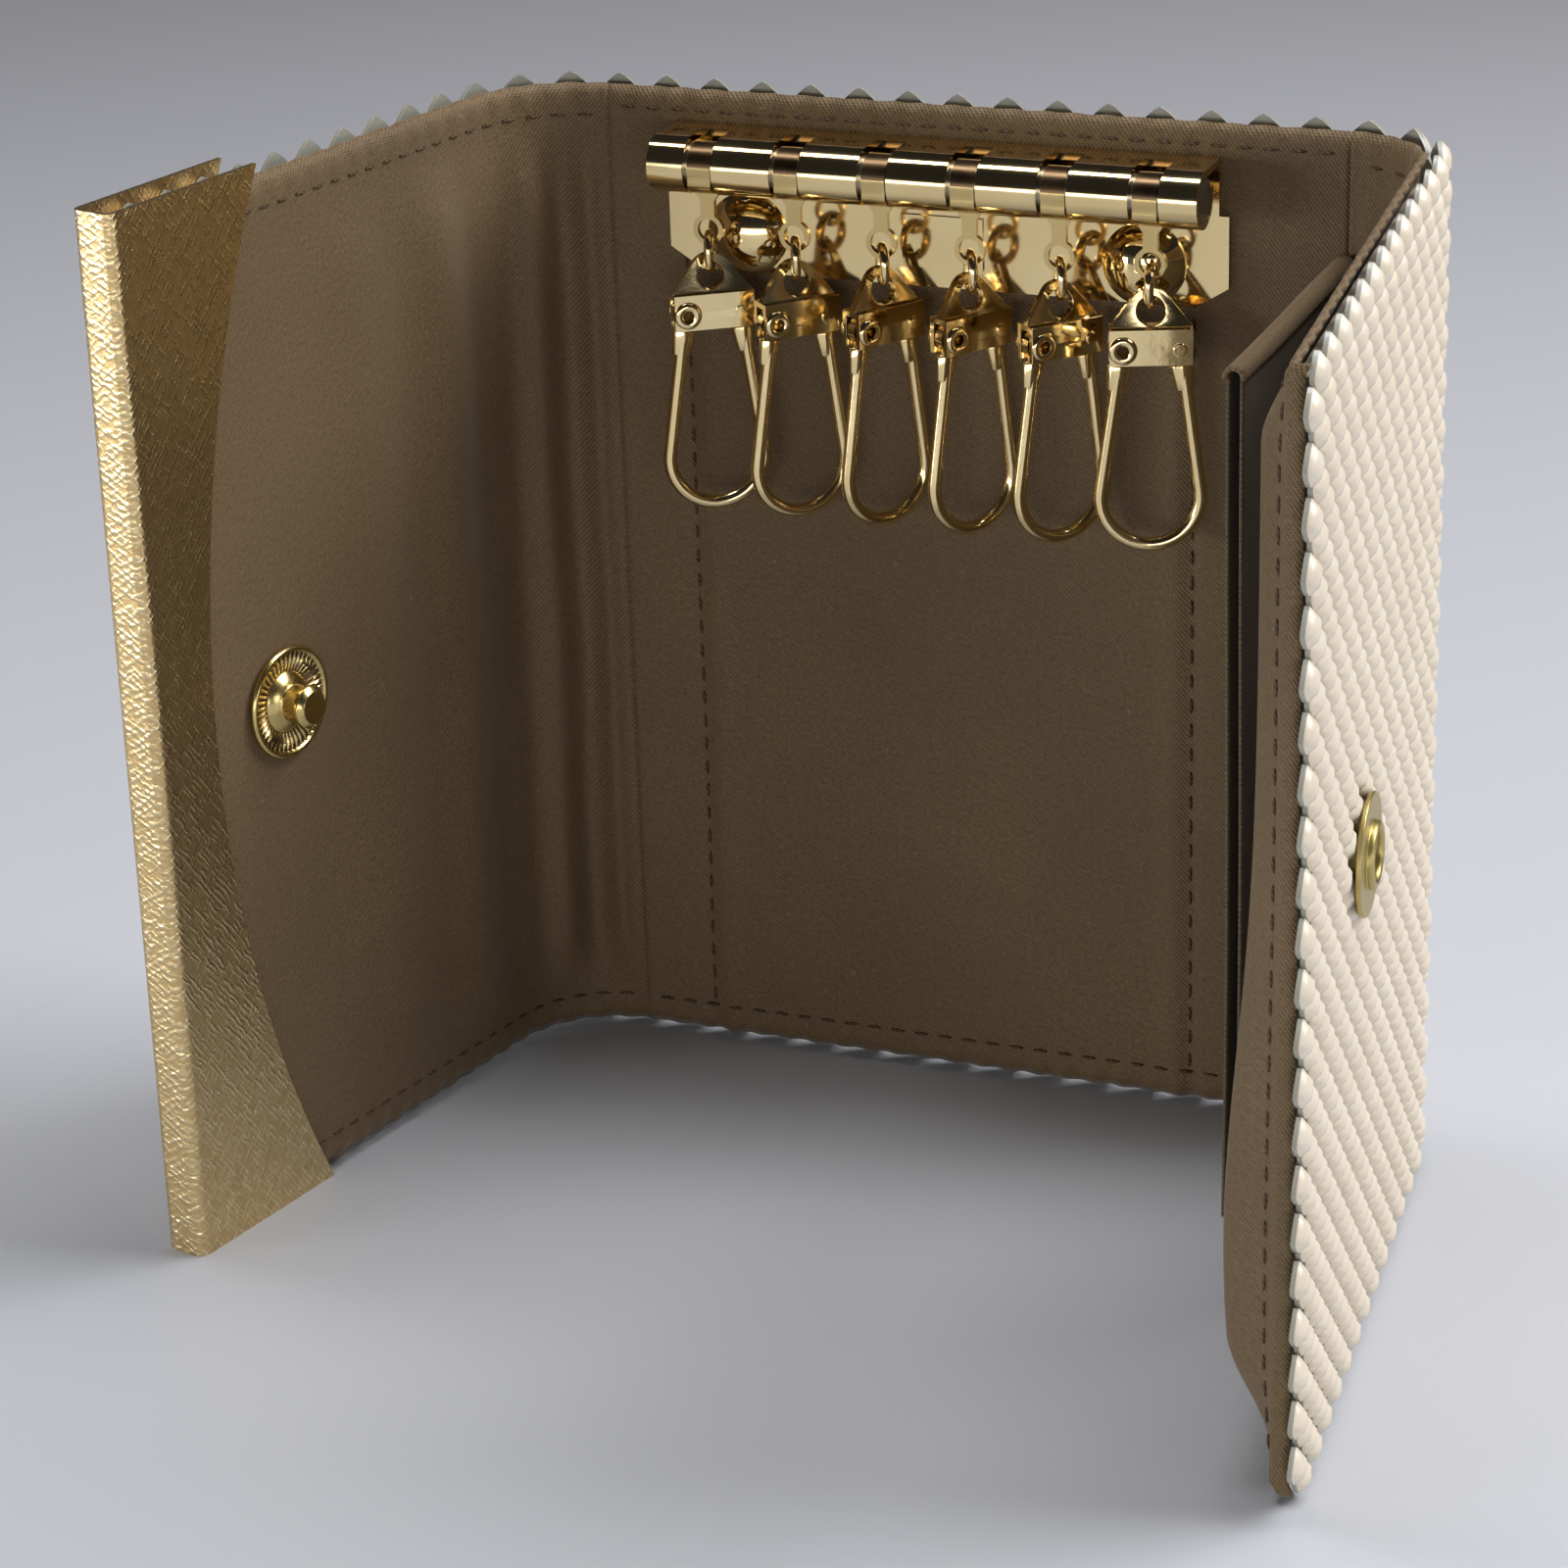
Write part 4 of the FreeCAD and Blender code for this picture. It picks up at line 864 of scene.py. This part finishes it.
def turned(profile, steps, closed=False):
    """A profile of radii and rises in mm, spun once round."""
    bm = bmesh.new()
    points = [bm.verts.new((radius * MM, 0, rise * MM)) for radius, rise in profile]
    followers = points[1:] + points[:1] if closed else points[1:]
    edges = [bm.edges.new(pair) for pair in zip(points, followers)]
    bmesh.ops.spin(bm, geom=points + edges, cent=(0, 0, 0), axis=UP, angle=2 * math.pi, steps=steps,
                   use_merge=True)
    return bm


def flute_wave(point):
    """One on the crest of a flute, less than zero in a groove."""
    return math.cos(math.atan2(point.y, point.x) * FLUTES)


def rosette():
    """A dished disc with flutes, dark in their grooves with painted shade and dirt, between a rolled rim and a
    plain middle.
    """
    bm = turned(WASHER_PROFILE, FLUTES * FLUTE_STEPS, closed=True)
    for vert in bm.verts:
        radius = vert.co.xy.length
        depth = FLUTE_DEPTH * ramp(radius, *FLUTE_START) * (1 - ramp(radius, *FLUTE_STOP))
        vert.co.z += depth * flute_wave(vert.co)
    bmesh.ops.remove_doubles(bm, verts=bm.verts[:], dist=WELD)
    face_out(bm)
    # Groove faces get the dark bronze: painted shade with some dirt in the grooves
    for face in bm.faces:
        spot = face.calc_center_median()
        fluted = spot.z > WASHER_TOP and FLUTE_START[0] < spot.xy.length < GROOVE_STOP
        face.material_index = int(fluted and flute_wave(spot) < 0)
    middle = along(LEFT, fold_run(LEFT) + STUD_REACH, 0, SNAP_HEIGHT)
    turn = Matrix((UP.cross(left_in), UP, left_in)).transposed().to_4x4()
    bmesh.ops.transform(bm, matrix=Matrix.Translation(middle) @ turn, verts=bm.verts[:])
    piece = finished("rosette_washer", bm, [snap_brass, dark_bronze_and_painted_shade], smooth_angle=60)
    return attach(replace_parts(piece, "stud_washer"), "left_flap")


rosette()

# Key hooks: straps that sink into the rail's slots, leaning ears, rolled eyelet rims and collars on the wire
HOOKS = 6
CRISP = 35
FLAT_ANGLE = math.radians(0.5)
EASED_ANGLE = math.radians(40)


def hook_into(number):
    """The way into a hook's face, along its pivot."""
    return -Vector(joints[f"gate_{number}_open"]["axis"])


def hook_place(number):
    """A hook's own axes: across its face, into it and up, on its vertical."""
    swivel = Vector(joints[f"link_turn_{number}"]["pos_m"])
    into = hook_into(number)
    place = Matrix((into.cross(UP), into, UP)).transposed().to_4x4()
    return Matrix.Translation((swivel.x, swivel.y, 0)) @ place


def merged_copy(name):
    """A solid piece's surface with its loose triangles joined and its flat faces made whole."""
    bm = bmesh.new()
    bm.from_mesh(nodes[name].data)
    bmesh.ops.remove_doubles(bm, verts=bm.verts[:], dist=2 * WELD)
    bmesh.ops.dissolve_limit(bm, angle_limit=FLAT_ANGLE, verts=bm.verts[:], edges=bm.edges[:])
    return bm


def eased(piece, width):
    """Narrow rounded edges."""
    ease = piece.modifiers.new("eased_edges", "BEVEL")
    ease.width = width
    ease.segments = 2
    ease.limit_method = "ANGLE"
    ease.angle_limit = EASED_ANGLE
    ease.harden_normals = True


# Straps: heights from the rod's axis at which one gets narrower at its outer edges and sinks into its slot, and
# above which it carries painted shade
ROD = Vector(joints["swing_1"]["pos_m"])
ROD_RADIUS = 2.0 * MM
ROD_GAP = 0.1 * MM
STRAP_NARROWING = 0.14
NARROWING_RISE = (-2.8 * MM, -2.0 * MM)
OUTER_EDGE = 6
STRAP_SINKING = 0.75
SINKING_RISE = (-1.7 * MM, -0.9 * MM)
SLOT_SHADE_RISE = 0.2 * MM


def strap(number):
    """The strap, narrower than its slot and sunk in it, coming out at the slot's lower half; above the rod's
    axis it carries painted shade.
    """
    bm = merged_copy(f"hook_{number}_strap")
    middle = joints[f"swing_{number}"]["pos_m"][0]
    half = max(abs(vert.co.x - middle) for vert in bm.verts)
    for vert in bm.verts:
        x, y, z = vert.co.x - middle, vert.co.y - ROD.y, vert.co.z - ROD.z
        outer = (x / half) ** OUTER_EDGE * ramp(z, *NARROWING_RISE)
        radius = math.hypot(y, z)
        over = max(0, radius - ROD_RADIUS - ROD_GAP)
        share = (radius - over * STRAP_SINKING * ramp(z, *SINKING_RISE)) / radius
        vert.co = (middle + x * (1 - STRAP_NARROWING * outer), ROD.y + y * share, ROD.z + z * share)
    # Faces above the rod's axis get the dark bronze: painted shade inside the slot
    for face in bm.faces:
        face.material_index = int(face.calc_center_median().z > ROD.z + SLOT_SHADE_RISE)
    piece = finished(f"hook_{number}_slot_strap", bm, [strap_gold, dark_bronze_and_painted_shade], CRISP)
    eased(piece, width=0.1 * MM)
    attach(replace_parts(piece, f"hook_{number}_strap"), f"strap_{number}")


BAND_TOP = Vector(joints["gate_1_open"]["pos_m"]).z + 1.95 * MM
EAR_LEAN = 0.22


def head(number):
    """The stamped head, whose ear leans back above the band."""
    bm = merged_copy(f"hook_{number}_head")
    into = hook_into(number)
    for vert in bm.verts:
        vert.co += into * max(0, vert.co.z - BAND_TOP) * EAR_LEAN
    piece = finished(f"hook_{number}_stamped_head", bm, [hook_gold], CRISP)
    eased(piece, width=0.14 * MM)
    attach(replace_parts(piece, f"hook_{number}_head"), f"head_{number}")


# Half of an eyelet's profile, from its middle: radii and rises in mm
EYELET_PROFILE = ((0.48, 0), (0.48, 1.3), (0.56, 1.56), (0.8, 1.68), (1.08, 1.66), (1.28, 1.52), (1.34, 1.3),
                  (1.3, 1.2), (0.8, 1.2), (0.8, 0))
EYELET_STEPS = 32


def eyelet(number):
    """The hollow eyelet, with a rim rolled over on each side of the head."""
    bm = turned(EYELET_PROFILE, EYELET_STEPS)
    whole = bm.verts[:] + bm.edges[:] + bm.faces[:]
    bmesh.ops.mirror(bm, geom=whole, axis="Z", merge_dist=2 * WELD)
    bmesh.ops.remove_doubles(bm, verts=bm.verts[:], dist=WELD)
    face_out(bm)
    pin = Vector(joints[f"gate_{number}_open"]["pos_m"])
    turn = hook_place(number).to_3x3() @ Matrix.Rotation(math.pi / 2, 3, "X")
    bmesh.ops.transform(bm, matrix=Matrix.Translation(pin) @ turn.to_4x4(), verts=bm.verts[:])
    piece = finished(f"hook_{number}_rolled_eyelet", bm, [hook_gold], smooth_angle=40)
    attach(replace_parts(piece, f"hook_{number}_eyelet"), f"head_{number}")


# Collars: the slope of the wire loop's legs, half their distance at the pivot, and each collar's place and
# shape
LEG_SLOPE = math.atan2(2.0, 13.84)
LEG_HALF = 2.6 * MM
COLLAR_DROP = 2.9 * MM
COLLAR_LENGTH = 2.6 * MM
COLLAR_LOW_RADIUS = 0.72 * MM
COLLAR_HIGH_RADIUS = 0.9 * MM
COLLAR_FLATTENING = (1.25, 0.8, 1, 1)
COLLAR_ROUNDING = 0.2 * MM
RIM_ANGLE = 1


def collars(number):
    """The flattened collars at the top of the wire loop's two legs."""
    bm = bmesh.new()
    pivot_z = joints[f"gate_{number}_open"]["pos_m"][2]
    for side in (-1, 1):
        middle = Vector((side * (LEG_HALF + math.tan(LEG_SLOPE) * COLLAR_DROP), 0, pivot_z - COLLAR_DROP))
        turn = Matrix.Rotation(-side * LEG_SLOPE, 4, "Y") @ Matrix.Diagonal(COLLAR_FLATTENING)
        bmesh.ops.create_cone(bm, cap_ends=True, segments=20, radius1=COLLAR_LOW_RADIUS,
                              radius2=COLLAR_HIGH_RADIUS, depth=COLLAR_LENGTH,
                              matrix=Matrix.Translation(middle) @ turn)
    rims = [edge for edge in bm.edges if len(edge.link_faces) == 2 and edge.calc_face_angle() > RIM_ANGLE]
    bmesh.ops.bevel(bm, geom=rims, offset=COLLAR_ROUNDING, affect="EDGES", segments=2, profile=0.5, material=-1)
    bmesh.ops.transform(bm, matrix=hook_place(number), verts=bm.verts[:])
    piece = finished(f"hook_{number}_collars", bm, [hook_gold], smooth_angle=50)
    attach(piece, f"gate_{number}")


def snap_piece(node, name, material, body):
    """A turned snap piece with its edges eased."""
    piece = finished(name, merged_copy(node), [material], CRISP)
    eased(piece, width=0.16 * MM)
    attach(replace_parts(piece, node), body)


snap_piece("snap_stud", "turned_stud", snap_brass, "left_flap")
snap_piece("snap_socket", "turned_socket", dull_brass, "right_flap")

for number in range(1, HOOKS + 1):
    strap(number)
    head(number)
    eyelet(number)
    collars(number)

# Finishes of the solid pieces that stay in sight
FINISHES = {
    "edge_trim": engraved_gold, "pivot_rod": rod_steel, "hook_rail": polished_gold, "rivet_caps": polished_gold,
    "rivet_posts": dark_bronze_and_painted_shade, "stud_post": dark_bronze_and_painted_shade, "socket_post": snap_brass,
    "back_board": board, "left_board": board, "right_board": board}
for name, piece in nodes.items():
    finish = FINISHES.get(name) or (hook_gold if name.startswith("hook_") else None)
    if finish:
        piece.data.materials.clear()
        piece.data.materials.append(finish)


# Floor, light and camera: the floor's size and its rise behind in metres, and the photograph's fitted view
FLOOR_HALF = 1.6
FLOOR_STEPS = 40
FLOOR_WIDENING = (2, 1, 1)
RISE_START = 0.9
RISE = 1.6
CAMERA_TURNS = (22.2135, 22.509, 1.8623)
CAMERA_PLACE = Vector((BACK_MIDDLE, BACK_Y, 0)) + Vector((137.0365, -379.9726, 199.4842)) * MM
FOCAL_PIXELS = 4524
PHOTO_PIXELS = 1600
SENSOR = 36
CLIP_START = 0.01


def floor_material():
    """Pale blue-grey, with painted shade that makes it darker far behind."""
    material, tree, shader = new_material("pale_floor", Roughness=0.5, Specular_IOR_Level=0.3)
    place = object_place(tree)
    parts = add(tree, "ShaderNodeSeparateXYZ", {0: place})
    # Painted shade: the colour darkens with distance behind the object
    far = add(tree, "ShaderNodeMapRange", {"Value": parts.outputs[1], "From Min": 0.0, "From Max": 0.75})
    colour = blend_colours(tree, far.outputs[0], (0.56, 0.575, 0.62), (0.30, 0.295, 0.315))
    tree.links.new(colour, shader.inputs["Base Color"])
    return material


def floor():
    """A broad floor that rises behind the object."""
    bm = bmesh.new()
    bmesh.ops.create_grid(bm, x_segments=1, y_segments=FLOOR_STEPS, size=FLOOR_HALF)
    for vert in bm.verts:
        vert.co.z = max(0, vert.co.y - RISE_START) ** 2 * RISE
    bmesh.ops.scale(bm, verts=bm.verts[:], vec=FLOOR_WIDENING)
    finished("pale_floor", bm, [floor_material()])


def lamp(name, place, aim, power, width, depth):
    """A soft oblong lamp: its place and aim, its power in watts, its width and depth in metres."""
    data = bpy.data.lights.new(name, "AREA")
    data.shape = "RECTANGLE"
    data.energy = power
    data.size = width
    data.size_y = depth
    light = bpy.data.objects.new(name, data)
    light.location = place
    light.rotation_euler = (Vector(aim) - Vector(place)).to_track_quat("-Z", "Y").to_euler()
    bpy.context.scene.collection.objects.link(light)


def studio_world():
    """Pale low down and dark overhead, so that polished metal has both to mirror."""
    world = bpy.data.worlds.new("studio")
    world.use_nodes = True
    tree = world.node_tree
    way = add(tree, "ShaderNodeTexCoord").outputs["Generated"]
    rise = add(tree, "ShaderNodeSeparateXYZ", {0: way}).outputs[2]
    high = add(tree, "ShaderNodeMapRange", {"Value": rise, "From Min": 0.0, "From Max": 0.25})
    colour = blend_colours(tree, high.outputs[0], (0.12, 0.124, 0.135), (0.02, 0.02, 0.023))
    tree.links.new(colour, tree.nodes["Background"].inputs["Color"])
    bpy.context.scene.world = world


def camera():
    """The photograph's viewpoint, from the back panel's middle."""
    azimuth, elevation, roll = (math.radians(angle) for angle in CAMERA_TURNS)
    level = Vector((math.cos(azimuth), math.sin(azimuth), 0))
    ahead = Vector((-math.sin(azimuth), math.cos(azimuth), 0))
    forward = ahead * math.cos(elevation) - UP * math.sin(elevation)
    upward = level.cross(forward)
    right = level * math.cos(roll) - upward * math.sin(roll)
    up = level * math.sin(roll) + upward * math.cos(roll)
    data = bpy.data.cameras.new("photo_camera")
    data.sensor_width = SENSOR
    data.lens = FOCAL_PIXELS / PHOTO_PIXELS * SENSOR
    data.clip_start = CLIP_START
    view = bpy.data.objects.new("photo_camera", data)
    turn = Matrix((right, up, -forward)).transposed().to_4x4()
    view.matrix_world = Matrix.Translation(CAMERA_PLACE) @ turn
    bpy.context.scene.collection.objects.link(view)
    bpy.context.scene.camera = view


floor()
lamp("key_lamp", (0.54, 0.3, 0.64), (0, 0, 0.04), 7.0, 0.5, 0.5)
lamp("top_lamp", (-0.05, 0.12, 0.9), (0, 0, 0.05), 4.6, 0.7, 0.16)
lamp("left_lamp", (-0.62, -0.5, 0.09), (0, 0, 0.05), 2.2, 0.3, 0.14)
lamp("front_lamp", (0.15, -1.0, 0.14), (0, 0, 0.05), 3.2, 1.3, 0.22)
lamp("right_lamp", (0.8, -0.25, 0.14), (0, 0, 0.05), 0.9, 0.4, 0.2)
studio_world()
bpy.context.scene.view_settings.view_transform = "Standard"
camera()
